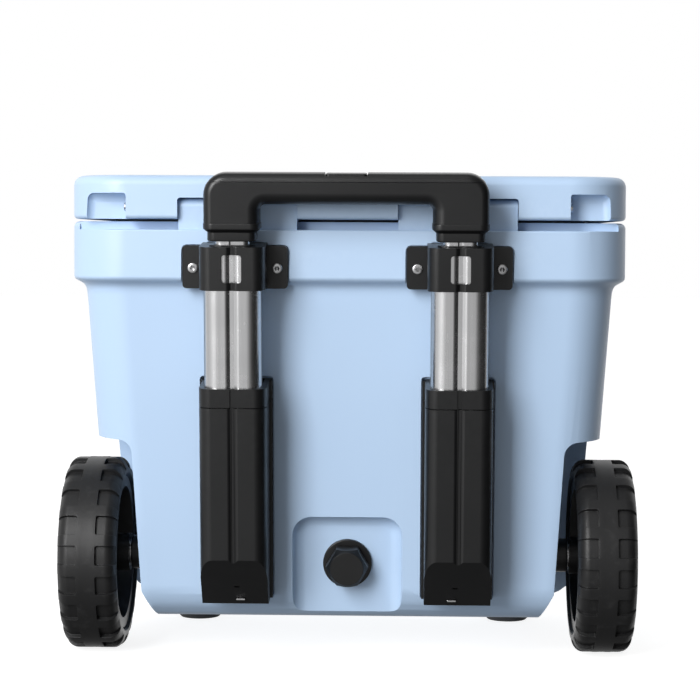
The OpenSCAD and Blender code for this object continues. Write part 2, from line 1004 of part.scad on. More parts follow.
// Guide bush in the mouth of each outer tube, which stops the slipper of the next
module outer_bushes() {
    foot = -middle_drop + slipper_h + stage_travel + run_gap;
    color("black")
        for (side = [-1, 1])
            on_tube(side) {
                translate([0, 0, foot])
                    linear_extrude(clamp_h / 2 - flange_t - foot)
                        difference() {
                            outer_profile(-outer_tube_t);
                            middle_profile(run_gap);
                        }
                translate([0, 0, clamp_h / 2 - flange_t])
                    linear_extrude(flange_t)
                        difference() {
                            outer_profile(0);
                            middle_profile(run_gap);
                        }
            }
}

module middle_tube(side) {
    color("silver")
        on_tube(side)
            translate([0, 0, -middle_drop])
                linear_extrude(middle_drop + middle_top)
                    difference() {
                        middle_profile(0);
                        middle_profile(-middle_tube_t);
                    }
}

module middle_tube_left() {
    middle_tube(-1);
}

module middle_tube_right() {
    middle_tube(1);
}

// Slipper around the foot of each middle tube
module middle_slippers() {
    color("black")
        for (side = [-1, 1])
            on_tube(side)
                translate([0, 0, -middle_drop])
                    linear_extrude(slipper_h)
                        difference() {
                            outer_profile(-outer_tube_t - run_gap);
                            middle_profile(0);
                        }
}

inner_drop = middle_drop - 5;
cap_t = 1.2;

// Guide bush in the mouth of each middle tube, with a flange over the tube's end
module middle_bushes() {
    foot = -inner_drop + slipper_h + stage_travel + run_gap;
    color("black")
        for (side = [-1, 1])
            on_tube(side) {
                translate([0, 0, foot])
                    linear_extrude(middle_top - foot)
                        difference() {
                            middle_profile(-middle_tube_t);
                            inner_profile(run_gap);
                        }
                translate([0, 0, middle_top])
                    linear_extrude(cap_t)
                        difference() {
                            middle_profile(0);
                            inner_profile(run_gap);
                        }
            }
}

inner_top = cavity_floor + 1;

module inner_tube(side) {
    color("silver")
        on_tube(side)
            translate([0, 0, -inner_drop])
                linear_extrude(inner_drop + inner_top)
                    difference() {
                        inner_profile(0);
                        inner_profile(-inner_tube_t);
                    }
}

module inner_tube_left() {
    inner_tube(-1);
}

module inner_tube_right() {
    inner_tube(1);
}

module inner_slippers() {
    color("black")
        for (side = [-1, 1])
            on_tube(side)
                translate([0, 0, -inner_drop])
                    linear_extrude(slipper_h)
                        difference() {
                            middle_profile(-middle_tube_t - run_gap);
                            inner_profile(0);
                        }
}

lock_pin_r = 2.5;
plug_l = 24;

// Plug in the foot of each inner tube that carries the lock pin
module lock_plugs() {
    color("black")
        for (side = [-1, 1])
            on_tube(side)
                translate([0, 0, -inner_drop])
                    difference() {
                        linear_extrude(plug_l)
                            inner_profile(-inner_tube_t);
                        translate([0, 0, plug_l - 16])
                            cylinder(r = rod_r + run_gap, h = 20);
                        translate([side * 4, 0, 5])
                            rotate([0, side * 90, 0])
                                cylinder(r = lock_pin_r, h = 20);
                    }
}

module lock_pins() {
    color("silver")
        for (side = [-1, 1])
            on_tube(side)
                translate([side * 4, 0, 5 - inner_drop])
                    rotate([0, side * 90, 0])
                        cylinder(r = lock_pin_r, h = inner_tube_w / 2 - inner_tube_t - 4.5);
}

// ---------------------------------------------------------------- clamps and casings

module clamp(side) {
    saddle_back = pocket_floor;
    color("black")
        on_tube(side)
            difference() {
                union() {
                    translate([0, 0, -clamp_h / 2])
                        linear_extrude(clamp_h)
                            saddle_outline(saddle_back);
                    translate([0, pocket_floor, -ear_drop])
                        rotate([90, 0, 0])
                            linear_extrude(ear_t)
                                round_rect(clamp_w, clamp_h, 4);
                }
                translate([0, 0, -FAR / 2])
                    linear_extrude(FAR)
                        outer_profile(0);
                translate([0, -cover_d + 8, 0])
                    rotate([90, 0, 0])
                        linear_extrude(FAR)
                            round_rect(window_w, window_h, 3);
                for (sx = [-1, 1])
                    translate([sx * clamp_screw_x, pocket_floor + 1, clamp_screw_z])
                        rotate([90, 0, 0])
                            cylinder(r = clamp_screw_r, h = ear_t + 2);
            }
}

// Outline of the block around a tube, square at the back and round at the front
module saddle_outline(back) {
    r = 12;
    translate([-saddle_w / 2, -cover_d + r])
        square([saddle_w, back + cover_d - r]);
    difference() {
        translate([0, -cover_d + r])
            round_rect(saddle_w, 2 * r, r - EPS);
        translate([0, -cover_d])
            square([4, 3], center = true);
    }
}

module clamp_left() {
    clamp(-1);
}

module clamp_right() {
    clamp(1);
}

screw_head_r = 5.4;
screw_head_h = 3;

module clamp_screws() {
    color("silver")
        both_sides()
            handle_frame()
                for (sx = [-1, 1])
                    translate([tube_x + sx * clamp_screw_x, pocket_floor - ear_t, clamp_screw_z])
                        rotate([-90, 0, 0])
                            difference() {
                                union() {
                                    translate([0, 0, -screw_head_h])
                                        cylinder(r1 = 3.6, r2 = screw_head_r, h = 1.8);
                                    translate([0, 0, -1.2])
                                        cylinder(r = screw_head_r, h = 1.2);
                                    cylinder(r = clamp_screw_r, h = ear_t + clamp_screw_l - 5);
                                }
                                translate([0, 0, -screw_head_h - 1])
                                    cylinder(r = 2, h = 3, $fn = 6);
                            }
}

// Cross-section of a casing: a round front on a wider base
module casing_section() {
    front_w = casing_w - 5;
    r = 13;
    difference() {
        union() {
            translate([0, -cover_d + r])
                round_rect(front_w, 2 * r, r - EPS);
            translate([-front_w / 2, -cover_d + r])
                square([front_w, casing_back + cover_d - r]);
            translate([-casing_w / 2, casing_back - 14])
                square([casing_w, 14]);
        }
        translate([0, -cover_d])
            square([5, 4], center = true);
    }
}

module casing_body() {
    h = casing_h;
    translate([0, 0, casing_foot])
        difference() {
            linear_extrude(h)
                casing_section();
            // mouth, sloping down to the front
            translate([-FAR / 2, casing_back, h])
                rotate([atan(mouth_drop / (casing_back + cover_d)), 0, 0])
                    translate([0, -FAR, 0])
                        cube([FAR, 2 * FAR, FAR]);
            // toe, slanting back to the foot
            translate([-FAR / 2, -cover_d, toe_h])
                rotate([atan(toe_run / toe_h), 0, 0])
                    translate([0, -FAR, -FAR])
                        cube([FAR, FAR, FAR]);
            // seat of the tube
            translate([0, 0, -tube_drop - casing_foot])
                linear_extrude(FAR)
                    outer_profile(0);
            // hollow behind the tube
            translate([-casing_w / 2 + 8, outer_tube_d / 2 + 3, 4])
                cube([casing_w - 16, casing_back - outer_tube_d / 2 - 6, h]);
        }
}

collar_z = casing_foot + casing_h - mouth_drop - collar_h;

module casing(side) {
    color("black")
        on_tube(side)
            intersection() {
                casing_body();
                translate([-FAR / 2, -FAR / 2, collar_z - FAR])
                    cube([FAR, FAR, FAR]);
            }
}

module casing_left() {
    casing(-1);
}

module casing_right() {
    casing(1);
}

module casing_collars() {
    color("black")
        for (side = [-1, 1])
            on_tube(side)
                intersection() {
                    casing_body();
                    translate([-FAR / 2, -FAR / 2, collar_z])
                        cube([FAR, FAR, FAR]);
                }
}

// ---------------------------------------------------------------- grip

grip_half_w = tube_x + leg_w / 2;
leg_bottom = 46;
ring_h = 6;
ring_grow = 1;
neck_w = 49.6;
neck_d = 27;
neck_bottom = clamp_h / 2 + 5.3;
cover_z = grip_top - cover_h;
bar_cavity_d = 14;
rod_r = 2;

// Grip seen from behind: a bar with two legs
module grip_front_outline() {
    r = grip_corner_r;
    w = 2 * grip_half_w;
    difference() {
        union() {
            translate([-w / 2, leg_bottom])
                square([w, grip_top - leg_bottom - r]);
            translate([-w / 2 + r, leg_bottom])
                square([w - 2 * r, grip_top - leg_bottom]);
            for (sx = [-1, 1])
                translate([sx * (w / 2 - r), grip_top - r])
                    circle(r);
        }
        translate([-(tube_x - leg_w / 2), leg_bottom - 1])
            square([2 * (tube_x - leg_w / 2), bar_bottom - leg_bottom - 5 + 1]);
        translate([-(tube_x - leg_w / 2) + 6, leg_bottom - 1])
            square([2 * (tube_x - leg_w / 2) - 12, bar_bottom - leg_bottom + 1]);
        for (sx = [-1, 1])
            translate([sx * (tube_x - leg_w / 2 - 6), bar_bottom - 6])
                circle(6);
    }
}

// Grip seen from the side, with round top edges
module grip_side_outline() {
    r = grip_edge_r;
    translate([-grip_d / 2, 0])
        square([grip_d, grip_top - r]);
    translate([-grip_d / 2 + r, 0])
        square([grip_d - 2 * r, grip_top]);
    for (sx = [-1, 1])
        translate([sx * (grip_d / 2 - r), grip_top - r])
            circle(r);
}

module grip_solid() {
    intersection() {
        translate([0, FAR / 2, 0])
            rotate([90, 0, 0])
                linear_extrude(FAR)
                    grip_front_outline();
        translate([-FAR / 2, 0, 0])
            rotate([90, 0, 90])
                linear_extrude(FAR)
                    grip_side_outline();
        linear_extrude(FAR)
            round_rect(2 * grip_half_w, grip_d, grip_edge_r);
    }
}

// Space in the grip for the release bar and the tube ends
module grip_cavity() {
    translate([-tube_x - 12, -bar_cavity_d / 2, cavity_floor])
        cube([2 * tube_x + 24, bar_cavity_d, cover_z - cavity_floor]);
    for (side = [-1, 1])
        translate([side * tube_x, 0, 0])
            linear_extrude(inner_top)
                inner_profile(0);
}

module grip_lower() {
    color("black")
        handle_frame()
            difference() {
                intersection() {
                    grip_solid();
                    translate([-FAR / 2, -FAR / 2, cover_z - FAR])
                        cube([FAR, FAR, FAR]);
                }
                grip_cavity();
            }
}

button_d = 20;
button_top = grip_top - 0.6;

module grip_cover() {
    color("black")
        handle_frame()
            difference() {
                intersection() {
                    grip_solid();
                    translate([-FAR / 2, -FAR / 2, cover_z])
                        cube([FAR, FAR, FAR]);
                }
                translate([0, 0, cover_z - 1])
                    linear_extrude(FAR)
                        round_rect(button_w + 2 * run_gap, button_d + 2 * run_gap, 3);
                translate([-button_w / 2 - 1, -grip_d, grip_top - 3])
                    cube([button_w + 2, 2 * grip_d, 10]);
            }
}

// Ring and neck under each leg, around the inner tube
module grip_collars() {
    color("black")
        for (side = [-1, 1])
            on_tube(side)
                difference() {
                    union() {
                        translate([0, 0, leg_bottom - ring_h])
                            linear_extrude(ring_h)
                                round_rect(leg_w + 2 * ring_grow, grip_d - 1, grip_edge_r);
                        translate([0, 0, neck_bottom])
                            linear_extrude(leg_bottom - ring_h - neck_bottom)
                                round_rect(neck_w, neck_d, 8);
                    }
                    translate([0, 0, neck_bottom - 1])
                        linear_extrude(leg_bottom - neck_bottom + 2)
                            inner_profile(0);
                }
}

bar_t = 5;
release_bar_z = cavity_floor + button_travel + 3.2;

module release_button() {
    color("black")
        handle_frame() {
            translate([0, 0, release_bar_z + bar_t])
                linear_extrude(button_top - release_bar_z - bar_t)
                    round_rect(button_w, button_d - 8, 3);
            translate([0, 0, cover_z + button_travel + run_gap])
                linear_extrude(button_top - cover_z - button_travel - run_gap)
                    round_rect(button_w, button_d, 3);
        }
}

// Bar under the button with a rod down each inner tube
module release_rods() {
    color("silver")
        handle_frame() {
            translate([-tube_x - 5, -4, release_bar_z])
                cube([2 * tube_x + 10, 8, bar_t]);
            for (side = [-1, 1])
                translate([side * tube_x, 0, -inner_drop + plug_l - 10 + button_travel])
                    cylinder(r = rod_r, h = release_bar_z + inner_drop - plug_l + 10 - button_travel);
        }
}

spring_r = 4.6;
spring_wire_r = 0.5;
spring_turns = 3;

// Coil under the release bar
module button_spring() {
    h = release_bar_z - cavity_floor - 2 * spring_wire_r - 0.1;
    steps = 16 * spring_turns;
    sides = 8;
    points = [
        for (i = [0:steps], k = [0:sides - 1])
            let (
                a = 360 * spring_turns * i / steps,
                b = 360 * k / sides,
                rr = spring_r + spring_wire_r * cos(b)
            )
            [rr * cos(a), rr * sin(a), h * i / steps + spring_wire_r * sin(b)]
    ];
    walls = [
        for (i = [0:steps - 1], k = [0:sides - 1])
            let (n = (k + 1) % sides)
            [i * sides + k, (i + 1) * sides + k, (i + 1) * sides + n, i * sides + n]
    ];
    start = [for (k = [0:sides - 1]) k];
    end = [for (k = [sides - 1:-1:0]) steps * sides + k];
    color("silver")
        handle_frame()
            translate([0, 0, cavity_floor + spring_wire_r + 0.05])
                polyhedron(points, concat(walls, [start], [end]));
}

// ---------------------------------------------------------------- wheels

hub_in_x = wheel_x - 34.7;
hub_out_x = wheel_x + 18.5;
shoulder_r = 14;
spacer_r = 18;
// The spacer starts where the leaning arch wall is clear of its whole end
spacer_in_x = arch_x + arch_lean * spacer_r / (tyre_r + arch_gap - ARCH_TOP_R) + run_gap;
washer_t = 1.5;
spacer_end_x = hub_in_x - run_gap - washer_t;
rim_in = wheel_rim_r - 11;
bead_r = (wheel_rim_r + tyre_r - shoulder_r) / 2;
rim_lip = 3;
dish_t = 10;
dish_deep = 12;
boss_cone = 6;
spoke_fillet = 9;
spoke_t = 10;

module on_wheel(side) {
    translate([side * wheel_x, axle_y, tyre_r])
        rotate([0, side * 90, 0])
            children();
}

module tyre(side) {
    half = tyre_w / 2;
    color("black")
        on_wheel(side)
            difference() {
                rotate_extrude($fn = 96)
                    polygon(concat(
                        [[wheel_rim_r, -half + 8], [bead_r, -half]],
                        [for (a = [-90:15:0])
                            [tyre_r - shoulder_r + shoulder_r * cos(a), -half + 12 + 12 * sin(a)]],
                        [for (a = [0:15:90])
                            [tyre_r - shoulder_r + shoulder_r * cos(a), half - 12 + 12 * sin(a)]],
                        [[bead_r, half], [wheel_rim_r, half - 8]]
                    ));
                for (i = [0:tread_count - 1], row = [-1, 1])
                    rotate([0, 0, 360 * (i + 0.5) / tread_count])
                        translate([tyre_r - tread_deep, 0, row * (10 + FAR / 2)])
                            cube([2 * tread_deep + 1, tread_pitch * 0.6, FAR], center = true);
            }
}

tread_pitch = 2 * PI * tyre_r / tread_count;

module tyre_left() {
    tyre(-1);
}

module tyre_right() {
    tyre(1);
}

bush_out_r = axle_r + 3;

module wheel_rim(side) {
    in = hub_in_x - wheel_x;
    out = hub_out_x - wheel_x;
    color("black")
        on_wheel(side)
            difference() {
                rotate_extrude($fn = 96)
                    polygon([
                        [bush_out_r, in],
                        [hub_r, in],
                        [hub_r, out - boss_cone - dish_t],
                        [rim_in - rim_lip, out - dish_deep - dish_t],
                        [rim_in, -tyre_w / 2 + rim_lip],
                        [wheel_rim_r, -tyre_w / 2 + rim_lip],
                        [wheel_rim_r, tyre_w / 2 - rim_lip],
                        [rim_in + rim_lip, tyre_w / 2 - rim_lip],
                        [rim_in - rim_lip, out - dish_deep],
                        [hub_r + rim_lip, out - boss_cone],
                        [hub_r, out],
                        [bush_out_r, out]
                    ]);
                for (i = [0:spoke_count - 1])
                    rotate([0, 0, 360 * (i + 0.5) / spoke_count])
                        translate([0, 0, -FAR / 2])
                            linear_extrude(FAR)
                                spoke_window();
            }
}

// One opening between two spokes
module spoke_window() {
    half = 180 / spoke_count;
    r0 = hub_r + spoke_fillet;
    r1 = rim_in - spoke_fillet;
    polygon(concat(
        [for (s = [-1, 1]) [r0 * cos(half), s * (r0 * sin(half) - spoke_t / 2)]],
        [for (s = [1, -1]) [r1 * cos(half), s * (r1 * sin(half) - spoke_t / 2)]]
    ));
}

module wheel_rim_left() {
    wheel_rim(-1);
}

module wheel_rim_right() {
    wheel_rim(1);
}

bush_len = 16;

module wheel_bushes(side) {
    color("white")
        on_wheel(side)
            for (z = [hub_in_x - wheel_x, hub_out_x - wheel_x - bush_len])
                translate([0, 0, z])
                    difference() {
                        cylinder(r = bush_out_r, h = bush_len);
                        translate([0, 0, -1])
                            cylinder(r = axle_r + shaft_gap, h = bush_len + 2);
                    }
}

module wheel_bushes_left() {
    wheel_bushes(-1);
}

module wheel_bushes_right() {
    wheel_bushes(1);
}

axle_end_x = hub_out_x + run_gap + 2 * washer_t + 2;

module hub_cap(side) {
    cap_h = wheel_x + tyre_w / 2 - 1 - hub_out_x;
    color("black")
        on_wheel(side)
            translate([0, 0, hub_out_x - wheel_x])
                rotate_extrude()
                    polygon([
                        [hub_r - 3, 0],
                        [hub_r, 0],
                        [hub_r - 1, cap_h - 3],
                        [hub_r - 5, cap_h],
                        [0, cap_h],
                        [0, cap_h - 2],
                        [hub_r - 6, cap_h - 2],
                        [hub_r - 3, cap_h - 4]
                    ]);
}

module hub_cap_left() {
    hub_cap(-1);
}

module hub_cap_right() {
    hub_cap(1);
}

module axles() {
    color("silver")
        both_sides()
            translate([arch_x - axle_insert_l + 5, axle_y, tyre_r])
                rotate([0, 90, 0])
                    cylinder(r = axle_r, h = axle_end_x - arch_x + axle_insert_l - 5);
}

module axle_inserts() {
    color("gray")
        both_sides()
            translate([arch_x - axle_insert_l, axle_y, tyre_r])
                rotate([0, 90, 0])
                    difference() {
                        cylinder(r = axle_insert_r, h = axle_insert_l);
                        translate([0, 0, 5])
                            cylinder(r = axle_r, h = axle_insert_l);
                    }
}

module axle_spacers() {
    color("black")
        both_sides()
            translate([spacer_in_x, axle_y, tyre_r])
                rotate([0, 90, 0])
                    difference() {
                        cylinder(r = spacer_r, h = spacer_end_x - spacer_in_x);
                        translate([0, 0, -1])
                            cylinder(r = axle_r, h = 50);
                    }
}

module axle_washers() {
    color("silver")
        both_sides()
            for (x = [spacer_end_x, hub_out_x + run_gap])
                translate([x, axle_y, tyre_r])
                    rotate([0, 90, 0])
                        difference() {
                            cylinder(r = axle_r + 5, h = washer_t);
                            translate([0, 0, -1])
                                cylinder(r = axle_r, h = washer_t + 2);
                        }
}

module axle_clips() {
    color("silver")
        both_sides()
            translate([hub_out_x + run_gap + washer_t, axle_y, tyre_r])
                rotate([0, 90, 0])
                    difference() {
                        cylinder(r = axle_r + 3.5, h = washer_t);
                        translate([0, 0, -1])
                            cylinder(r = axle_r, h = washer_t + 2);
                        translate([0, -2, -1])
                            cube([20, 4, washer_t + 2]);
                    }
}

// ---------------------------------------------------------------- drain

drain_face = body_face + drain_recess_deep;
flange_h = 4;
plug_gasket_h = 2;

// z points outwards from the floor of the drain recess
module drain_frame() {
    handle_frame()
        translate([0, drain_face, back_face_height(drain_z, drain_face)])
            rotate([90, 0, 0])
                children();
}

// The barrel ends inside the liner's wall
tub_back_at_drain = tub_wall_back
    + (tub_mid_y - tub_floor_d / 2 - back_y - tub_wall_back)
    * (rim_top - drain_z) / (rim_top - tub_floor_z);
drain_face_at_drain = drain_face / cos(back_draft) - handle_standoff
    + (clamp_z - drain_z) * tan(back_draft);
drain_l = tub_back_at_drain - drain_face_at_drain - skin / 2;

module drain_hole() {
    drain_frame()
        translate([0, 0, -3 * drain_l])
            cylinder(r = drain_barrel_r, h = 6 * drain_l);
}

module drain_fitting() {
    color("black")
        drain_frame()
            difference() {
                union() {
                    cylinder(r = drain_flange_r, h = flange_h);
                    translate([0, 0, -drain_l])
                        cylinder(r = drain_barrel_r, h = drain_l);
                }
                translate([0, 0, -drain_l - 1])
                    cylinder(r = drain_bore_r, h = drain_l + flange_h + 2);
            }
}

module drain_plug() {
    color("black")
        drain_frame() {
            translate([0, 0, flange_h + plug_gasket_h])
                intersection() {
                    cylinder(r = plug_af / sqrt(3), h = plug_cap_h, $fn = 6);
                    cylinder(r1 = plug_af / 2 + 14, r2 = plug_af / 2 - 2, h = plug_cap_h);
                }
            translate([0, 0, -18])
                cylinder(r = drain_bore_r - run_gap, h = 18 + flange_h + plug_gasket_h);
        }
}

module plug_gasket() {
    color("dimgray")
        drain_frame()
            translate([0, 0, flange_h])
                difference() {
                    cylinder(r = plug_af / 2 - 1.5, h = plug_gasket_h);
                    translate([0, 0, -1])
                        cylinder(r = drain_bore_r, h = plug_gasket_h + 2);
                }
}

body_shell();
inner_liner();
body_foam();
front_feet();
foot_screws();
lid_shell();
lid_liner();
lid_foam();
lid_gasket();
hinge_pins();
hinge_bushes();
latch_brackets();
latch_pins();
latch_left();
latch_right();
keepers();
outer_tube_left();
outer_tube_right();
outer_bushes();
middle_tube_left();
middle_tube_right();
middle_slippers();
middle_bushes();
inner_tube_left();
inner_tube_right();
inner_slippers();
lock_plugs();
lock_pins();
clamp_left();
clamp_right();
clamp_screws();
casing_left();
casing_right();
casing_collars();
grip_lower();
grip_cover();
grip_collars();
release_button();
release_rods();
button_spring();
tyre_left();
tyre_right();
wheel_rim_left();
wheel_rim_right();
wheel_bushes_left();
wheel_bushes_right();
hub_cap_left();
hub_cap_right();
axles();
axle_inserts();
axle_spacers();
axle_washers();
axle_clips();
drain_fitting();
drain_plug();
plug_gasket();
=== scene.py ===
import json
import math

import bmesh
import bpy
from mathutils import Matrix, Vector


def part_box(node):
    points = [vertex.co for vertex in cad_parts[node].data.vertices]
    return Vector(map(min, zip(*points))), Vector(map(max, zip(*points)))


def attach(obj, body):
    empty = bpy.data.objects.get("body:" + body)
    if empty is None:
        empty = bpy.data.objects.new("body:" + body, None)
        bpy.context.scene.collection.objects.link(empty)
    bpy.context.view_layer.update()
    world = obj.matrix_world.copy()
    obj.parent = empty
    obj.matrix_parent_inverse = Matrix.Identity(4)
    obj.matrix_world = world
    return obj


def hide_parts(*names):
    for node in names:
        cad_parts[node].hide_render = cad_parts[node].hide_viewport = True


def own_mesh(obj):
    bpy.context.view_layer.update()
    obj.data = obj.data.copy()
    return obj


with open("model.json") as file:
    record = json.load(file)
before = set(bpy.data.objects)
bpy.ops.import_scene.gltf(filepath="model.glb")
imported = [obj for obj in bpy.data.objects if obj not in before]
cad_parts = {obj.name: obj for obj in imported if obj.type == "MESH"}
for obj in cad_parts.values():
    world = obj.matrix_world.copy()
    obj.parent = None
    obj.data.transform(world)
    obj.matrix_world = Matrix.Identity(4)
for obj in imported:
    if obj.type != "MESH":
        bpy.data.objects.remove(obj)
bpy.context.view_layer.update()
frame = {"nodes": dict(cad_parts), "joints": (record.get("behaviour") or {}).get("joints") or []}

# ---------------- outer skin of the body
# One hollow moulding of polyethylene, light blue all through: a drafted box with a rim band around
# its mouth, two hinge knuckles, an arch for each wheel, channels for the casings and a recess for
# the drain. Its edges are soft, as a rotating mould leaves them, and its skin has a faint grain.

RIM_HALF = 0.2895
RIM_CORNER = 0.0615
RIM_STEP = 0.0125
RIM_HEIGHT = 0.0585
BELLY_Z = 0.040
BASE_R = 0.038
SIDE_SLOPE = math.tan(math.radians(3.6))
BACK_SLOPE = math.tan(math.radians(5.5))
KNUCKLE_R = 0.0088
LEDGE_DROP = 0.0085
LEDGE_DEPTH = 0.030
ARCH_X = 0.2195
ARCH_LEAN = 0.007
CLAMP_Z = 0.414
STANDOFF = 0.032
LID_GAP = 0.0025
FAR = 0.6  # past the cooler's side

lid_low, lid_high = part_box("lid_shell")
back_y, front_y = lid_low.y, lid_high.y
rim_top = lid_low.z - LID_GAP
rim_bottom = rim_top - RIM_HEIGHT
pin_low, pin_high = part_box("hinge_pins")
hinge_y = (pin_low.y + pin_high.y) / 2
hinge_z = (pin_low.z + pin_high.z) / 2
slide = next(j for j in frame["joints"] if j["name"] == "handle_stage_1")
lean = math.atan2(-slide["axis"][1], slide["axis"][2])
# The handle's own frame: z runs up the tubes, y = 0 is their middle plane, -y is outwards
handle_frame = Matrix.Translation((0, back_y - STANDOFF, CLAMP_Z)) @ Matrix.Rotation(lean, 4, "X")
to_handle = handle_frame.inverted()
CROSSWISE = Matrix.Rotation(math.pi / 2, 4, "Y")


def tilted_box(node):
    """Lowest and highest corner of a CAD node in the handle's frame."""
    points = [to_handle @ v.co for v in frame["nodes"][node].data.vertices]
    return (Vector(min(p[i] for p in points) for i in range(3)),
            Vector(max(p[i] for p in points) for i in range(3)))


def quarter_round(radius, degrees):
    """How far a round edge rises and steps in at each angle."""
    turns = [math.radians(d) for d in degrees]
    return [(radius * (1 - math.sin(t)), radius * (1 - math.cos(t))) for t in turns]


def rounded_ring(bm, half_w, back, front, radius, z, steps=10):
    """Edges of a level rectangle with round corners."""
    sheet = bmesh.ops.create_grid(bm, x_segments=1, y_segments=1, size=0.5)
    bmesh.ops.scale(bm, vec=(2 * half_w, front - back, 1), verts=sheet["verts"])
    bmesh.ops.translate(bm, vec=(0, (back + front) / 2, z), verts=sheet["verts"])
    rounded = bmesh.ops.bevel(bm, geom=sheet["verts"], affect="VERTICES", offset=radius,
                              segments=steps, profile=0.5, material=-1)
    # dict.fromkeys drops what comes twice and keeps the order
    plate = list(dict.fromkeys(f for v in rounded["verts"] for f in v.link_faces))
    edges = list(dict.fromkeys(e for f in plate for e in f.edges))
    bmesh.ops.delete(bm, geom=plate, context="FACES_ONLY")
    return edges


def skin_over(bm, rings):
    """Joins rings, from the lowest up, into a closed block."""
    for lower, upper in zip(rings, rings[1:]):
        bmesh.ops.bridge_loops(bm, edges=lower + upper)
    bmesh.ops.edgeloop_fill(bm, edges=rings[0])
    bmesh.ops.edgeloop_fill(bm, edges=rings[-1])
    bmesh.ops.recalc_face_normals(bm, faces=bm.faces)


def prism(outline, along, low, high, corners=None, steps=6, place=None):
    """An outline pushed straight along one axis; corners gives the radius of each round corner."""
    axis = "XYZ".index(along)
    bm = bmesh.new()
    points = []
    for spot in outline:
        spot = list(spot)
        spot.insert(axis, low)
        points.append(bm.verts.new(spot))
    bm.faces.new(points)
    corners = corners or {}
    for radius in sorted(set(corners.values())):
        bmesh.ops.bevel(bm, geom=[points[i] for i in corners if corners[i] == radius],
                        affect="VERTICES", offset=radius, segments=steps, profile=0.5, material=-1)
    pushed = bmesh.ops.extrude_face_region(bm, geom=list(bm.faces))
    step = [0, 0, 0]
    step[axis] = high - low
    bmesh.ops.translate(bm, vec=step,
                        verts=[g for g in pushed["geom"] if isinstance(g, bmesh.types.BMVert)])
    bmesh.ops.recalc_face_normals(bm, faces=bm.faces)
    if place:
        bmesh.ops.transform(bm, matrix=place, verts=bm.verts)
    return bm


def rectangle(left, right, low, high):
    return [(left, low), (right, low), (right, high), (left, high)]


def lean_back(bm):
    """Takes a mesh made upright into the handle's frame."""
    bmesh.ops.transform(bm, matrix=handle_frame, verts=bm.verts)


def box_outline(half_w, low, high):
    return rectangle(-half_w, half_w, low, high)


def all_round(radius):
    """The same radius on the four corners of a box outline."""
    return dict.fromkeys(range(4), radius)


def rod(radius, depth, place, top_radius=None, segments=48):
    """A round bar, or a cone if its top has a radius of its own."""
    bm = bmesh.new()
    bmesh.ops.create_cone(bm, cap_ends=True, segments=segments, radius1=radius,
                          radius2=top_radius or radius, depth=depth, matrix=place)
    return bm


def round_over(bm, edges, radius, steps):
    bmesh.ops.bevel(bm, geom=edges, affect="EDGES", offset=radius, segments=steps,
                    profile=0.5, material=-1)


def shifted(outline, dx):
    return [(a + dx, b) for a, b in outline]


def loose(bm, name="rough"):
    """Makes a bmesh an object that is not finished yet."""
    mesh = bpy.data.meshes.new(name)
    bm.to_mesh(mesh)
    bm.free()
    piece = bpy.data.objects.new(name, mesh)
    bpy.context.scene.collection.objects.link(piece)
    return piece


def combine(piece, tool, how="DIFFERENCE"):
    """Cuts a tool out of a piece, or joins it on, and uses the tool up."""
    if isinstance(tool, bmesh.types.BMesh):
        tool = loose(tool, "tool")
    change = piece.modifiers.new("combine", "BOOLEAN")
    change.operation = how
    change.solver = "EXACT"
    change.object = tool
    graph = bpy.context.evaluated_depsgraph_get()
    mesh = bpy.data.meshes.new_from_object(piece.evaluated_get(graph))
    piece.modifiers.clear()
    piece.data = mesh
    bpy.data.objects.remove(tool)
    return piece


def reopen(piece):
    """The mesh of a rough piece again, welded and with its flat faces whole."""
    bm = bmesh.new()
    bm.from_mesh(piece.data)
    bpy.data.objects.remove(piece)
    bmesh.ops.remove_doubles(bm, verts=bm.verts, dist=0.00002)
    bmesh.ops.dissolve_limit(bm, angle_limit=math.radians(0.3), verts=bm.verts, edges=bm.edges)
    return bm


def everywhere(middle, edge):
    return True


def soften(bm, radius, steps, wanted=everywhere, sharp=30):
    """Rounds the sharp edges that pass a test."""
    edges = [e for e in bm.edges if len(e.link_faces) == 2
             and e.calc_face_angle(0) > math.radians(sharp)
             and wanted((e.verts[0].co + e.verts[1].co) / 2, e)]
    if edges:
        bmesh.ops.bevel(bm, geom=edges, affect="EDGES", offset=radius, segments=steps,
                        profile=0.5, material=-1, clamp_overlap=True)


def cad_copy(*nodes):
    """A merged copy of CAD nodes, with their flat faces whole."""
    bm = bmesh.new()
    for node in nodes:
        bm.from_mesh(frame["nodes"][node].data)
    bmesh.ops.remove_doubles(bm, verts=bm.verts, dist=0.00001)
    bmesh.ops.dissolve_limit(bm, angle_limit=math.radians(0.5), verts=bm.verts, edges=bm.edges)
    return bm


def add(tree, kind, inputs=None, **settings):
    """A node with its settings, and its inputs set or linked."""
    node = tree.nodes.new(kind)
    for key, value in settings.items():
        setattr(node, key, value)
    for key, value in (inputs or {}).items():
        if isinstance(value, bpy.types.NodeSocket):
            tree.links.new(value, node.inputs[key])
        else:
            node.inputs[key].default_value = value
    return node


def effect(name, inputs, outputs):
    """An empty node group, with its input sockets and its output node."""
    tree = bpy.data.node_groups.new(name, "ShaderNodeTree")
    for title, value in inputs.items():
        socket = tree.interface.new_socket(title, in_out="INPUT", socket_type="NodeSocketFloat")
        socket.default_value = value
    for title in outputs:
        tree.interface.new_socket(title, in_out="OUTPUT", socket_type="NodeSocketFloat")
    return tree, tree.nodes.new("NodeGroupInput").outputs, tree.nodes.new("NodeGroupOutput")


def scaled(tree, a, b, operation="MULTIPLY"):
    return add(tree, "ShaderNodeMath", {0: a, 1: b}, operation=operation).outputs[0]


def coordinate(tree, kind="Object"):
    return add(tree, "ShaderNodeTexCoord").outputs[kind]


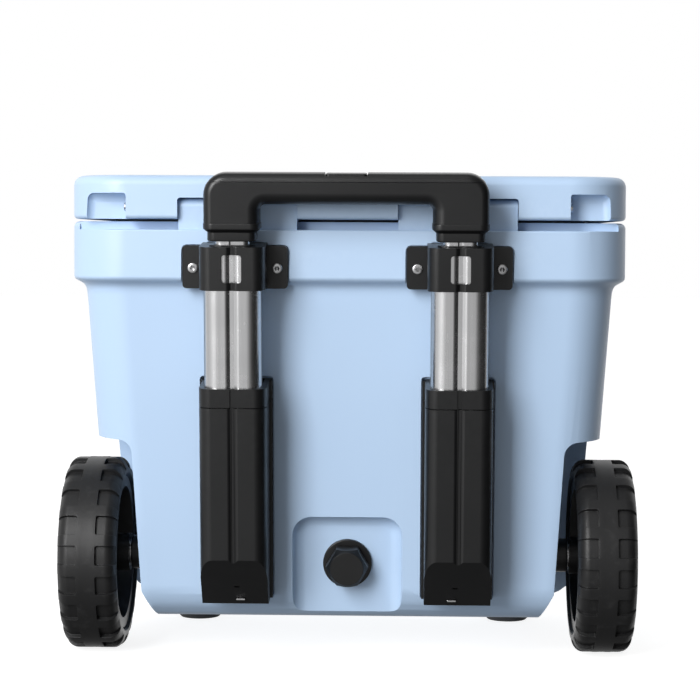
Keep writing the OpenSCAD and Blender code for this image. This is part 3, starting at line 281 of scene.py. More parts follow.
def noise(tree, where, scale, detail=2.0, roughness=0.5):
    return add(tree, "ShaderNodeTexNoise", {"Vector": where, "Scale": scale, "Detail": detail,
                                            "Roughness": roughness}).outputs["Fac"]


def spread(tree, value, low, high, to_low=0.0, to_high=1.0):
    """A value carried from one range over to another, and held at its ends."""
    return add(tree, "ShaderNodeMapRange", {"Value": value, "From Min": low, "From Max": high,
                                            "To Min": to_low, "To Max": to_high}).outputs[0]


# Grain of a moulded skin, with the slow unevenness of its colour and gloss
moulded_skin, given, result = effect(
    "moulded_skin", {"Grain": 900, "Wave": 25, "Wave share": 1.0}, ["Height", "Patches"])
spot = coordinate(moulded_skin)
fine = noise(moulded_skin, spot, given["Grain"], 3.0, 0.6)
slow = noise(moulded_skin, spot, given["Wave"], 1.0, 0.4)
waves = scaled(moulded_skin, slow, given["Wave share"])
moulded_skin.links.new(scaled(moulded_skin, fine, waves, "ADD"), result.inputs["Height"])
moulded_skin.links.new(noise(moulded_skin, spot, 9.0, 4.0, 0.55), result.inputs["Patches"])

# Thin scratches in two directions, gathered where a few patches of the surface were handled
handling, given, result = effect("handling", {"Length": 18, "Fineness": 420}, ["Marks", "Dust"])
spot = coordinate(handling)
bend = scaled(handling, noise(handling, spot, 6.0, 1.0), 0.04)
bent = add(handling, "ShaderNodeVectorMath", {0: spot, 1: bend}, operation="ADD")
masks = []
for turn in (0.5, 2.0):
    turned = add(handling, "ShaderNodeMapping", {"Vector": bent.outputs[0],
                                                 "Rotation": (turn, 0.6 * turn, turn)})
    along = add(handling, "ShaderNodeCombineXYZ",
                {"X": given["Length"], "Y": given["Fineness"], "Z": given["Fineness"]})
    drawn = add(handling, "ShaderNodeVectorMath",
                {0: turned.outputs[0], 1: along.outputs[0]}, operation="MULTIPLY")
    masks.append(spread(handling, noise(handling, drawn.outputs[0], 1.0), 0.70, 0.78))
handled = spread(handling, noise(handling, spot, 7.0), 0.50, 0.68)
both = scaled(handling, masks[0], masks[1], "MAXIMUM")
handling.links.new(scaled(handling, both, handled), result.inputs["Marks"])
handling.links.new(spread(handling, noise(handling, spot, 60.0, 6.0, 0.7), 0.55, 0.75),
                   result.inputs["Dust"])

# Convex edges, where a surface is rubbed first; the same mask also lays a painted highlight along
# them
rubbed_and_highlit_edges, given, result = effect("rubbed_and_highlit_edges", {"Start": 0.53, "Full": 0.60}, ["Rub"])
shape = add(rubbed_and_highlit_edges, "ShaderNodeNewGeometry").outputs["Pointiness"]
convex = spread(rubbed_and_highlit_edges, shape, given["Start"], given["Full"])
uneven = spread(rubbed_and_highlit_edges, noise(rubbed_and_highlit_edges, coordinate(rubbed_and_highlit_edges), 140.0, 4.0), 0.42, 0.62)
rubbed_and_highlit_edges.links.new(scaled(rubbed_and_highlit_edges, convex, uneven), result.inputs["Rub"])


def use(tree, group, **inputs):
    """A node group placed in a material."""
    node = tree.nodes.new("ShaderNodeGroup")
    node.node_tree = group
    for key, value in inputs.items():
        node.inputs[key.replace("_", " ")].default_value = value
    return node.outputs


def mix_colour(tree, share, first, second):
    return add(tree, "ShaderNodeMix", {0: share, 6: first, 7: second}, data_type="RGBA").outputs[2]


def blank_finish(name):
    material = bpy.data.materials.new(name)
    material.use_nodes = True
    return material, material.node_tree, material.node_tree.nodes["Principled BSDF"]


def emboss(tree, shader, height, depth):
    bump = add(tree, "ShaderNodeBump", {"Height": height, "Distance": depth})
    tree.links.new(bump.outputs[0], shader.inputs["Normal"])


def moulded_plastic(name, colour, shade, scuff_and_edge_colour, roughness, grain, depth, wave=25.0, wave_share=0.0,
                    marks=0.25, rub_and_highlight_share=0.3, specular=0.5):
    """Satin plastic with a grain, faint scratches, and convex edges in the scuff colour: partly
    rubbed wear, partly a painted highlight.
    """
    material, tree, shader = blank_finish(name)
    skin = use(tree, moulded_skin, Grain=grain, Wave=wave, Wave_share=wave_share)
    marked = use(tree, handling)
    edges = use(tree, rubbed_and_highlit_edges)
    clouded = mix_colour(tree, skin["Patches"], (*colour, 1), (*shade, 1))
    scuffs = scaled(tree, marked["Marks"], marks)
    # Scratches and convex edges take the scuff colour; on the edges it is partly wear and partly a
    # painted highlight
    scuffs_and_lit_edges = scaled(tree, scuffs, scaled(tree, edges["Rub"], rub_and_highlight_share), "ADD")
    tree.links.new(mix_colour(tree, scuffs_and_lit_edges, clouded, (*scuff_and_edge_colour, 1)), shader.inputs["Base Color"])
    dull = spread(tree, skin["Patches"], 0.3, 0.7, roughness - 0.04, roughness + 0.04)
    dusty = scaled(tree, marked["Dust"], 0.05)
    tree.links.new(scaled(tree, scaled(tree, dull, dusty, "ADD"), scuffs, "ADD"),
                   shader.inputs["Roughness"])
    emboss(tree, shader, skin["Height"], depth)
    shader.inputs["Specular IOR Level"].default_value = specular
    return material


def fit_piece(mesh, name, body, slot, finish, *nodes, crease=32):
    """Shades a finished mesh, gives it its finish and body, and hides the nodes it stands for."""
    if isinstance(mesh, bpy.types.Object):
        mesh = reopen(mesh)
    for face in mesh.faces:
        face.smooth = True
    for edge in mesh.edges:
        edge.smooth = len(edge.link_faces) == 2 and edge.calc_face_angle(0) < math.radians(crease)
    piece = loose(mesh, name)
    piece.data.materials.append(finish)
    even = piece.modifiers.new("even_shading", "WEIGHTED_NORMAL")
    even.keep_sharp = True
    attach(piece, body)
    if nodes:
        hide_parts(*nodes)
    return piece


def edged_copy(node, name, body, slot, finish, radius, steps, wanted=everywhere, sharp=50):
    """A piece that is its CAD node with round edges."""
    bm = cad_copy(node)
    soften(bm, radius, steps, wanted, sharp)
    fit_piece(loose(bm), name, body, slot, finish, node)


blue_plastic = moulded_plastic(
    "light_blue_polyethylene", colour=(0.465, 0.613, 0.81), shade=(0.445, 0.595, 0.80),
    scuff_and_edge_colour=(0.70, 0.82, 0.97), roughness=0.40, grain=1100.0, depth=0.00006, wave=30.0,
    wave_share=0.8, marks=0.10, rub_and_highlight_share=0.12)


def body_ring(bm, z, inset):
    """One level of the body, drafted under the rim."""
    fall = max(rim_bottom - z, 0)
    side = inset + fall * SIDE_SLOPE
    back = inset + fall * BACK_SLOPE
    return rounded_ring(bm, RIM_HALF - side, back_y + back, front_y - side,
                        max(RIM_CORNER - inset, 0.012), z)


bm = bmesh.new()
levels = [(BELLY_Z + up, RIM_STEP + inwards)
          for up, inwards in quarter_round(BASE_R, range(90, -1, -15))]
# The S of the rim's underside, then its straight band and its round top edge
levels += [(rim_bottom + up, inset) for up, inset in (
    (-0.0180, 0.0125), (-0.0145, 0.0123), (-0.0115, 0.0119), (-0.0090, 0.0111),
    (-0.0069, 0.0097), (-0.0050, 0.0072), (-0.0035, 0.0043), (-0.0020, 0.0018),
    (-0.0002, 0.0004), (0.0018, 0.0))]
levels += [(rim_top - drop, inset) for drop, inset in (
    (0.0055, 0.0), (0.0036, 0.0004), (0.0018, 0.0016), (0.0005, 0.0034), (0.0, 0.0055))]
skin_over(bm, [body_ring(bm, z, inset) for z, inset in levels])
body = loose(bm)

tyre_low, tyre_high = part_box("tyre_right")
tyre_r = (tyre_high.z - tyre_low.z) / 2
axle_y = (tyre_high.y + tyre_low.y) / 2
arch_top = 2 * tyre_r + 0.025
arch_front = axle_y + tyre_r + 0.012
for side in (-1, 1):
    across = [(side * x, z) for x, z in (
        (FAR, -0.01), (ARCH_X - 0.017, -0.01), (ARCH_X - 0.017, BELLY_Z),
        (ARCH_X - 0.002, BELLY_Z + 0.030), (ARCH_X + ARCH_LEAN, arch_top),
        (FAR, arch_top + 0.018))]
    arch = loose(prism(across, "Y", -FAR, arch_front, corners={4: 0.013}))
    ahead = rectangle(-FAR, arch_front, -0.02, arch_top + 0.030)
    combine(arch, prism(ahead, "X", -FAR, FAR, corners={2: 0.070}, steps=12), "INTERSECT")
    combine(body, arch)

casing_low, casing_high = tilted_box("casing_right")
collar_high = tilted_box("casing_collars")[1]
clamp_low, clamp_high = tilted_box("clamp_right")
tube_x = (clamp_low.x + clamp_high.x) / 2
FIT = 0.0015
EARS_UP = 0.0197
SADDLE_HALF, SADDLE_UP = 0.0320, 0.0230
for side in (-1, 1):
    # The casing's channel, the pocket of the clamp's ears, and one for its taller saddle
    for half, low, high, floor_y, radius, steps in (
            ((casing_high.x - casing_low.x) / 2 + FIT, casing_low.z - 2 * FIT,
             collar_high.z + 2 * FIT, casing_high.y, 0.004, 3),
            ((clamp_high.x - clamp_low.x) / 2 + FIT, clamp_low.z - 0.001, EARS_UP,
             clamp_high.y, 0.006, 4),
            (SADDLE_HALF, clamp_low.z - 0.001, SADDLE_UP, clamp_high.y, 0.006, 4)):
        combine(body, prism(shifted(box_outline(half, low, high), side * tube_x), "Y", -0.3,
                            floor_y, corners=all_round(radius), steps=steps, place=handle_frame))

flange_low, flange_high = tilted_box("drain_fitting")
drain_z = (flange_low.z + flange_high.z) / 2
recess_floor = casing_high.y + 0.008
recess_half, recess_top = 0.0575, drain_z + 0.0525
# The walls of the recess run into its floor in a wide round
BELOW = -0.45  # under the body, where the recess is open
opening = prism(box_outline(recess_half, BELOW, recess_top), "Y", -0.3, recess_floor,
                corners={2: 0.020, 3: 0.020}, steps=8)
round_over(opening, [e for e in opening.edges
                     if min(v.co.y for v in e.verts) > recess_floor - 0.0001
                     and max(v.co.z for v in e.verts) > BELOW + 0.001], 0.0135, 8)
lean_back(opening)
combine(body, opening)

ledge_half = RIM_HALF - 0.0105
combine(body, prism(box_outline(ledge_half, rim_top - LEDGE_DROP, rim_top + 0.1), "Y", -FAR,
                    back_y + LEDGE_DEPTH))

# Knuckles that hold the hinge pins, on a web that runs down into the rim
KNUCKLE_IN = 0.052
KNUCKLE_OUT = 0.1743
web_foot = rim_top - 0.030
web = [(hinge_y - 0.0064, web_foot), (hinge_y + 0.0128, web_foot), (hinge_y + KNUCKLE_R, hinge_z),
       (hinge_y + KNUCKLE_R, hinge_z + KNUCKLE_R), (hinge_y - KNUCKLE_R, hinge_z + KNUCKLE_R),
       (hinge_y - KNUCKLE_R, hinge_z)]
for side in (-1, 1):
    ends = sorted((side * KNUCKLE_IN, side * KNUCKLE_OUT))
    combine(body, prism(web, "X", *ends, corners=dict.fromkeys((3, 4), KNUCKLE_R * 0.999),
                        steps=8), "UNION")

foot_low, foot_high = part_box("front_feet")
foot_y = (foot_low.y + foot_high.y) / 2
foot_r = (foot_high.y - foot_low.y) / 2
foot_x = foot_high.x - foot_r
for side in (-1, 1):
    boss_place = Matrix.Translation((side * foot_x, foot_y, foot_high.z + 0.021))
    combine(body, rod(foot_r + 0.003, 0.042, boss_place, foot_r + 0.011), "UNION")


TUB_BACK = 0.060
TUB_FRONT = 0.050
TUB_HALF = 0.235
TUB_FLOOR_HALF = 0.175
TUB_FLOOR_DEEP = 0.131
TUB_CORNER = 0.032
LINER = 0.004


def tub_block(grow, top):
    """The tub's space, grown outwards by grow: drafted, with a round edge around its floor."""
    bm = bmesh.new()
    floor_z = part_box("inner_liner")[0].z + LINER
    back_wall, front_wall = back_y + TUB_BACK, front_y - TUB_FRONT
    mid_y = (back_wall + front_wall) / 2 + 0.004
    rings = [(floor_z - grow + up, 1.0, grow - inwards)
             for up, inwards in quarter_round(0.014, (90, 70, 50, 30, 10, 0))]
    rings.append((rim_top, 0.0, grow))
    loops = []
    for z, share, out in rings:
        half = TUB_HALF + (TUB_FLOOR_HALF - TUB_HALF) * share + out
        back = back_wall + (mid_y - TUB_FLOOR_DEEP - back_wall) * share - out
        front = front_wall + (mid_y + TUB_FLOOR_DEEP - front_wall) * share + out
        loops.append(rounded_ring(bm, half, back, front, TUB_CORNER + min(out, 0), z, steps=8))
    if top > rim_top:
        loops.append(rounded_ring(bm, TUB_HALF + grow, back_wall - grow, front_wall + grow,
                                  TUB_CORNER, top, steps=8))
    skin_over(bm, loops)
    return bm


combine(body, tub_block(LINER, rim_top + 0.01))
# Holes for the axles and the drain
combine(body, rod(0.014, 2 * FAR, Matrix.Translation((0, axle_y, tyre_r)) @ CROSSWISE))
drain_place = handle_frame @ Matrix.Translation((0, recess_floor, drain_z)) @ Matrix.Rotation(
    math.pi / 2, 4, "X")
combine(body, rod(0.016, 0.2, drain_place))

bm = reopen(body)
soften(bm, 0.0075, 5, lambda m, e: abs(m.z - (rim_top - LEDGE_DROP)) < 0.0005
       and m.y < back_y + 0.004 and abs(e.verts[0].co.z - e.verts[1].co.z) < 0.0002)
soften(bm, 0.0025, 3, lambda m, e: m.z < rim_top + 0.03, sharp=35)
body = loose(bm)
combine(body, cad_copy("body_foam"))
fit_piece(body, "body_skin", "cooler_body", "blue_shell", blue_plastic, "body_shell")

# ---------------- lid
# A second hollow moulding of the same blue plastic with foam inside. Slots over the body's knuckles
# leave it three hinge lobes, and a notch behind each corner shows the end of a hinge pin.

LID_ROUND = 0.010
PANEL_BORDER = 0.036
PANEL_DEEP = 0.0015
NOTCH_IN = 0.2277
NOTCH_OUT = 0.2717
NOTCH_UP = 0.0265
NOTCH_DEEP = 0.022
BUSH_L = 0.024
PLAY = 0.0005

bm = bmesh.new()
levels = [(lid_low.z + up, inwards) for up, inwards in quarter_round(0.004, (90, 60, 30, 0))]
levels += [(lid_high.z - down, inwards)
           for down, inwards in quarter_round(LID_ROUND, range(0, 91, 15))]
# A shallow panel is let into the top
levels += [(lid_high.z - drop, PANEL_BORDER + inwards) for drop, inwards in (
    (0.0, -0.002), (0.0002, 0.0), (PANEL_DEEP / 2, 0.002), (PANEL_DEEP - 0.0002, 0.004),
    (PANEL_DEEP, 0.006))]
skin_over(bm, [rounded_ring(bm, RIM_HALF - inset, back_y + inset, front_y - inset,
                            max(RIM_CORNER - inset, 0.016), z) for z, inset in levels])
lid = loose(bm)

lid_foam_low, lid_foam_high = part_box("lid_foam")
bm = bmesh.new()
skin_over(bm, [rounded_ring(bm, lid_foam_high.x, lid_foam_low.y, lid_foam_high.y, 0.040, z)
               for z in (lid_low.z - 0.01, lid_foam_high.z)])
combine(lid, bm)
for side in (-1, 1):
    slot = [(side * x, z) for x, z in rectangle(
        KNUCKLE_IN - PLAY, KNUCKLE_OUT + PLAY, lid_low.z - 0.005, hinge_z + KNUCKLE_R + PLAY)]
    combine(lid, prism(slot, "Y", back_y - 0.005, hinge_y + KNUCKLE_R + 0.005,
                       corners={2: 0.003, 3: 0.003}))
    notch = [(side * x, z) for x, z in (
        (NOTCH_IN, lid_low.z - 0.005), (NOTCH_OUT, lid_low.z - 0.005),
        (NOTCH_OUT - 0.002, lid_low.z + NOTCH_UP), (NOTCH_IN, lid_low.z + NOTCH_UP))]
    # The walls of the notch run into its floor in a wide round
    notch = prism(notch, "Y", back_y - 0.005, back_y + NOTCH_DEEP, corners={2: 0.0075, 3: 0.003})
    round_over(notch, [
        e for e in notch.edges if min(v.co.y for v in e.verts) > back_y + NOTCH_DEEP - 0.0001
        and max(v.co.z for v in e.verts) > lid_low.z
        and min(abs(v.co.x) for v in e.verts) > NOTCH_IN + 0.0001], 0.0095, 7)
    combine(lid, notch)
    for start, end, radius in ((0.009, NOTCH_IN + 0.002, 0.00456),
                               (KNUCKLE_IN - PLAY - BUSH_L, KNUCKLE_IN, 0.0063),
                               (KNUCKLE_OUT, KNUCKLE_OUT + PLAY + BUSH_L, 0.0063)):
        place = Matrix.Translation((side * (start + end) / 2, hinge_y, hinge_z)) @ CROSSWISE
        combine(lid, rod(radius, end - start, place, segments=32))
bm = reopen(lid)
soften(bm, 0.0022, 3, lambda m, e: m.y < back_y + 0.040
       and math.hypot(m.y - hinge_y, m.z - hinge_z) > 0.0066, sharp=35)
fit_piece(loose(bm), "lid_skin", "lid", "blue_shell", blue_plastic, "lid_shell")

# ---------------- liners, foam and gasket
# A white food-safe tub drops into the body and a white plug closes the lid's underside, both
# moulded in smooth plastic. Foam fills the walls, and a soft rubber ring seals lid to rim.

white_plastic = moulded_plastic(
    "white_liner_plastic", colour=(0.80, 0.81, 0.82), shade=(0.76, 0.77, 0.79),
    scuff_and_edge_colour=(0.62, 0.63, 0.64), roughness=0.30, grain=800.0, depth=0.00003, wave=22.0,
    wave_share=0.6, marks=0.22, rub_and_highlight_share=0.05)

liner = loose(tub_block(LINER, rim_top))
combine(liner, tub_block(0.0, rim_top + 0.01))
combine(liner, rod(0.0162, 0.2, drain_place))
bm = reopen(liner)
soften(bm, 0.0015, 3, lambda m, e: m.z > rim_top - 0.001, sharp=50)
fit_piece(loose(bm), "tub_liner", "cooler_body", "white_liner", white_plastic, "inner_liner")
edged_copy("lid_liner", "lid_plug", "lid", "white_liner", white_plastic, 0.0015, 3,
           lambda m, e: m.z < lid_low.z - 0.004)


def grained(name, colour, shade, roughness, grain, depth, specular=0.4):
    """A dull surface, such as rubber or foam, with its grain and slow changes of shade."""
    material, tree, shader = blank_finish(name)
    spot = coordinate(tree)
    cells = noise(tree, spot, grain, 5.0, 0.65)
    marked = use(tree, handling, Length=12, Fineness=260)
    edges = use(tree, rubbed_and_highlit_edges)
    slow = noise(tree, spot, 14.0, 4.0)
    base = mix_colour(tree, slow, (*colour, 1), (*shade, 1))
    # Dust and convex edges turn paler; on the edges, the lips of the tread pockets among them, this
    # is partly a painted highlight
    pale = scaled(tree, scaled(tree, marked["Dust"], edges["Rub"], "ADD"), 0.04)
    dust_and_lit_edges = mix_colour(tree, pale, base, (*[0.35 + 0.5 * c for c in colour], 1))
    tree.links.new(dust_and_lit_edges, shader.inputs["Base Color"])
    tree.links.new(spread(tree, slow, 0.3, 0.7, roughness - 0.06, roughness + 0.06),
                   shader.inputs["Roughness"])
    emboss(tree, shader, cells, depth)
    shader.inputs["Specular IOR Level"].default_value = specular
    return material


def refinish(finish, *nodes):
    """Gives CAD nodes that stay as they are a new finish."""
    for node in nodes:
        for slot in frame["nodes"][node].material_slots:
            slot.material = finish


insulation = grained("poured_foam", (0.72, 0.62, 0.36), (0.62, 0.52, 0.28), 0.9, 380.0, 0.0006)
refinish(insulation, "body_foam", "lid_foam")
seal_rubber = grained("seal_rubber", (0.10, 0.10, 0.105), (0.08, 0.08, 0.085), 0.62, 900.0,
                      0.00004)
edged_copy("lid_gasket", "gasket_ring", "lid", "seal_rubber", seal_rubber, 0.0009, 3)

# ---------------- hinge
# Two long stainless pins lie in the lid and run through the body's knuckles. Each lobe of the lid
# turns on them in pale nylon bushes.

def turned_metal(name, colour, roughness, lines, along, tilt=0.0, depth=0.00002):
    """Bare metal with the fine parallel lines of drawing, turning or brushing."""
    material, tree, shader = blank_finish(name)
    shader.inputs["Metallic"].default_value = 1.0
    spot = coordinate(tree)
    straight = add(tree, "ShaderNodeMapping", {"Vector": spot, "Rotation": (-tilt, 0, 0)})
    stretch = [lines, lines, lines]
    stretch["XYZ".index(along)] = lines / 120
    drawn = add(tree, "ShaderNodeVectorMath", {0: straight.outputs[0], 1: tuple(stretch)},
                operation="MULTIPLY")
    grain = noise(tree, drawn.outputs[0], 1.0, 4.0, 0.6)
    marked = use(tree, handling, Length=30, Fineness=500)
    share = scaled(tree, scaled(tree, grain, noise(tree, spot, 18.0, 4.0), "ADD"), 0.5)
    toned = mix_colour(tree, share, (*[c * 0.8 for c in colour], 1), (*colour, 1))
    tree.links.new(mix_colour(tree, scaled(tree, marked["Marks"], 0.3), toned,
                              (*[c * 0.6 for c in colour], 1)), shader.inputs["Base Color"])
    rough = spread(tree, share, 0.35, 0.65, roughness - 0.07, roughness + 0.07)
    tree.links.new(scaled(tree, rough, scaled(tree, marked["Dust"], 0.08), "ADD"),
                   shader.inputs["Roughness"])
    emboss(tree, shader, grain, depth)
    return material


steel = turned_metal("stainless_steel", (0.66, 0.66, 0.67), 0.26, 900.0, "X")
edged_copy("hinge_pins", "hinge_rods", "lid", "steel", steel, 0.0008, 3)
nylon = moulded_plastic("pale_nylon", colour=(0.72, 0.71, 0.66), shade=(0.68, 0.67, 0.62),
                        scuff_and_edge_colour=(0.5, 0.5, 0.48), roughness=0.42, grain=1500.0, depth=0.00003)
refinish(nylon, "hinge_bushes")

# ---------------- latches
# Two moulded latches swing on steel pins in brackets that are screwed to the lid's front. Each has
# a channel that snaps over the rib of its keeper on the rim, and a ribbed lip for the fingers.

# Its lighter scuff colour on convex edges is partly a painted highlight along them
black_plastic = moulded_plastic(
    "black_satin_plastic", colour=(0.0040, 0.0042, 0.0046), shade=(0.0060, 0.0062, 0.0068),
    scuff_and_edge_colour=(0.030, 0.030, 0.032), roughness=0.34, grain=1300.0, depth=0.00006, marks=0.08, rub_and_highlight_share=0.10,
    specular=0.48)


def fit_black(mesh, name, body, *nodes):
    """Fits a piece of the black satin plastic."""
    fit_piece(mesh, name, body, "black_plastic", black_plastic, *nodes)


def black_copy(node, name, body, radius, steps, wanted=everywhere, sharp=50):
    edged_copy(node, name, body, "black_plastic", black_plastic, radius, steps, wanted, sharp)


latch_low, latch_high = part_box("latch_right")
for side, node, body_name in ((-1, "latch_left", "latch_l"), (1, "latch_right", "latch_r")):
    latch = loose(cad_copy(node))
    middle = side * (latch_low.x + latch_high.x) / 2
    # Three grip grooves across the lower face
    for row in range(3):
        groove = rectangle(latch_high.y - 0.0128, latch_high.y - 0.0100,
                           latch_low.z + 0.014 + 0.006 * row, latch_low.z + 0.017 + 0.006 * row)
        combine(latch, prism(groove, "X", middle - 0.022, middle + 0.022))
    bm = reopen(latch)
    soften(bm, 0.0012, 3, lambda m, e: math.hypot(m.y - latch_high.y + 0.018,
                                                  m.z - latch_high.z + 0.0065) > 0.005, sharp=40)
    fit_black(loose(bm), node.replace("latch", "latch_lever"), body_name, node)
black_copy("latch_brackets", "latch_mounts", "lid", 0.0009, 2,
           lambda m, e: m.y > front_y + 0.001, sharp=40)
black_copy("keepers", "keeper_plates", "cooler_body", 0.0012, 3,
           lambda m, e: m.y > front_y + 0.001, sharp=40)
refinish(steel, "latch_pins")

# ---------------- handle tubes
# Three extruded aluminium tubes slide in each other on both sides, the outer one fixed to the body.
# Each is two round lobes with a groove between, brushed along its length, with black guide bushes.

brushed_aluminium = turned_metal("brushed_aluminium", (0.80, 0.80, 0.81), 0.24, 700.0, "Z",
                                 tilt=lean, depth=0.00003)
# Seen along its surface the brushed metal mirrors less of what stands beside it
brushed_aluminium.node_tree.nodes["Principled BSDF"].inputs["Specular Tint"].default_value = (
    0.30, 0.29, 0.27, 1)
tube_bodies = {"outer": "cooler_body", "middle": "handle_middle", "inner": "handle_upper"}
grooves = {"outer": (0.0060, 0.0020, 0.0022), "middle": (0.0045, 0.0018, 0.0008),
           "inner": (0.0030, 0.0012, 0.0008)}
NEAR = 0.0003


def runs_along(edge):
    """Whether an edge runs along the tubes."""
    return abs((edge.verts[1].co - edge.verts[0].co).normalized().z) > 0.9


for size, body_name in tube_bodies.items():
    lip, floor_half, deep = grooves[size]
    for hand in ("left", "right"):
        node = f"{size}_tube_{hand}"
        rail = loose(cad_copy(node))
        low, high = tilted_box(node)
        middle_x = (low.x + high.x) / 2
        # The walls of the two grooves slope, so a wedge goes into each of their corners
        for face, inwards in ((low.y, 1), (high.y, -1)):
            for way in (-1, 1):
                wedge = [(way * (lip + NEAR), face), (way * lip, face),
                         (way * floor_half, face + inwards * (deep + 0.0001)),
                         (way * (lip + NEAR), face + inwards * (deep + 0.0001))]
                combine(rail, prism(shifted(wedge, middle_x), "Z", low.z, high.z,
                                    place=handle_frame), "UNION")
        bm = reopen(rail)
        # The outer lip of each groove is round enough to catch the light
        if size == "outer":
            soften(bm, 0.0014, 4, lambda m, e: runs_along(e)
                   and abs(abs((to_handle @ m).x - middle_x) - lip) < NEAR
                   and (to_handle @ m).y < low.y + NEAR, sharp=20)
        soften(bm, 0.0006 if size == "outer" else 0.0004, 3, lambda m, e: runs_along(e), sharp=45)
        soften(bm, 0.0003, 1, lambda m, e: abs((e.verts[1].co - e.verts[0].co).z) < 0.002,
               sharp=60)
        fit_piece(loose(bm), f"{size}_rail_{hand}", body_name, "tube_metal", brushed_aluminium,
                  node, crease=14)
for node, body_name in (("outer_bushes", "cooler_body"), ("middle_bushes", "handle_middle")):
    black_copy(node, node.replace("bushes", "guides"), body_name, 0.0005, 2,
               lambda m, e: (to_handle @ m).z > 0.018)
refinish(black_plastic, "middle_slippers", "inner_slippers", "lock_plugs")
refinish(brushed_aluminium, "release_rods")
refinish(steel, "lock_pins")

# ---------------- clamps
# A black saddle with an ear on each side holds each outer tube to the body by two steel screws. A
# round-cornered window in its face shows the tube, with a fine groove above and below it.

GROOVE_HALF = 0.0045


def at(spot, side):
    """A point in the handle's frame, with x from the middle of a tube."""
    spot = to_handle @ spot
    return Vector((spot.x - side * tube_x, spot.y, spot.z))


def rise(edge):
    """How far an edge climbs along the tubes."""
    return abs((to_handle @ edge.verts[0].co).z - (to_handle @ edge.verts[1].co).z)


def cut_groove(piece, side, face_y, low, high):
    """Cuts a fine groove down the middle of a clamp's or a casing's face."""
    vee = [(-GROOVE_HALF, face_y - 0.001), (GROOVE_HALF, face_y - 0.001), (GROOVE_HALF, face_y),
           (0.0008, face_y + 0.0024), (-0.0008, face_y + 0.0024), (-GROOVE_HALF, face_y)]
    combine(piece, prism(shifted(vee, side * tube_x), "Z", low, high, place=handle_frame))


def soften_lips(bm, side, face_y, shortest):
    """Rounds the long edges of a face's groove."""
    soften(bm, 0.0012, 3, lambda m, e: abs(abs(at(m, side).x) - GROOVE_HALF) < NEAR
           and at(m, side).y < face_y + NEAR and rise(e) > shortest, sharp=20)


for side, node in ((-1, "clamp_left"), (1, "clamp_right")):
    clamp = loose(cad_copy(node))
    cut_groove(clamp, side, clamp_low.y, clamp_low.z - 0.01, clamp_high.z + 0.01)
    bm = reopen(clamp)
    soften_lips(bm, side, clamp_low.y, 0.003)

    def on_saddle_rim(m, e):
        m = at(m, side)
        return (0.0021 < abs(m.x) < 0.040 and m.y < clamp_low.y + 0.030 and rise(e) < 0.0004
                and abs(abs(m.z) - 0.022) < 0.0004 and (abs(m.x) > 0.0300 or m.y < -0.0155))

    def on_window(m, e):
        m = at(m, side)
        return (abs(m.x) < 0.0105 and abs(m.z) < 0.0145 and m.y < -0.0160
                and m.y < clamp_low.y + 0.0005)

    def on_ears(m, e):
        m = at(m, side)
        return (abs(m.x) > 0.034 and m.y < clamp_high.y - 0.004
                and math.hypot(abs(m.x) - 0.044, m.z + 0.001) > 0.004)

    for radius, steps, wanted in ((0.0026, 4, on_saddle_rim), (0.0010, 3, on_window),
                                  (0.0013, 3, on_ears)):
        soften(bm, radius, steps, wanted, sharp=40)
    fit_black(loose(bm), node.replace("clamp", "clamp_saddle"), "cooler_body", node)
SCREW_X = 0.0432
bolts = bmesh.new()
screw_low, screw_high = tilted_box("clamp_screws")
head_y, head_z = clamp_high.y - 0.0104, (screw_low.z + screw_high.z) / 2
for x in (-tube_x - SCREW_X, -tube_x + SCREW_X, tube_x - SCREW_X, tube_x + SCREW_X):
    # A button head: its rim, its crown and the six-sided socket sunk in the crown
    rings = []
    for y, r, sides in ((0.0030, 0.0054, 0), (0.0010, 0.0054, 0), (0.0003, 0.0049, 0),
                        (0.0, 0.0040, 0), (0.0, 0.0028, 6), (0.0016, 0.0026, 6),
                        (0.0027, 0.0006, 0)):
        ring = []
        for a in range(0, 360, 10):
            reach = r
            if sides:
                reach *= math.cos(math.radians(30)) / math.cos(math.radians(a % 60 - 30))
            ring.append(bolts.verts.new((x + reach * math.cos(math.radians(a)), head_y + y,
                                         head_z + reach * math.sin(math.radians(a)))))
        rings.append([bolts.edges.new((ring[i - 1], ring[i])) for i in range(len(ring))])
    skin_over(bolts, rings)
lean_back(bolts)
fit_piece(bolts, "clamp_bolts", "cooler_body", "steel", steel, "clamp_screws")

# ---------------- casings
# A tall black moulding closes the foot of each outer tube: round at the front with a fine groove
# down its middle, a slanting toe with a drain slot and a steel peg, and a separate collar on top.

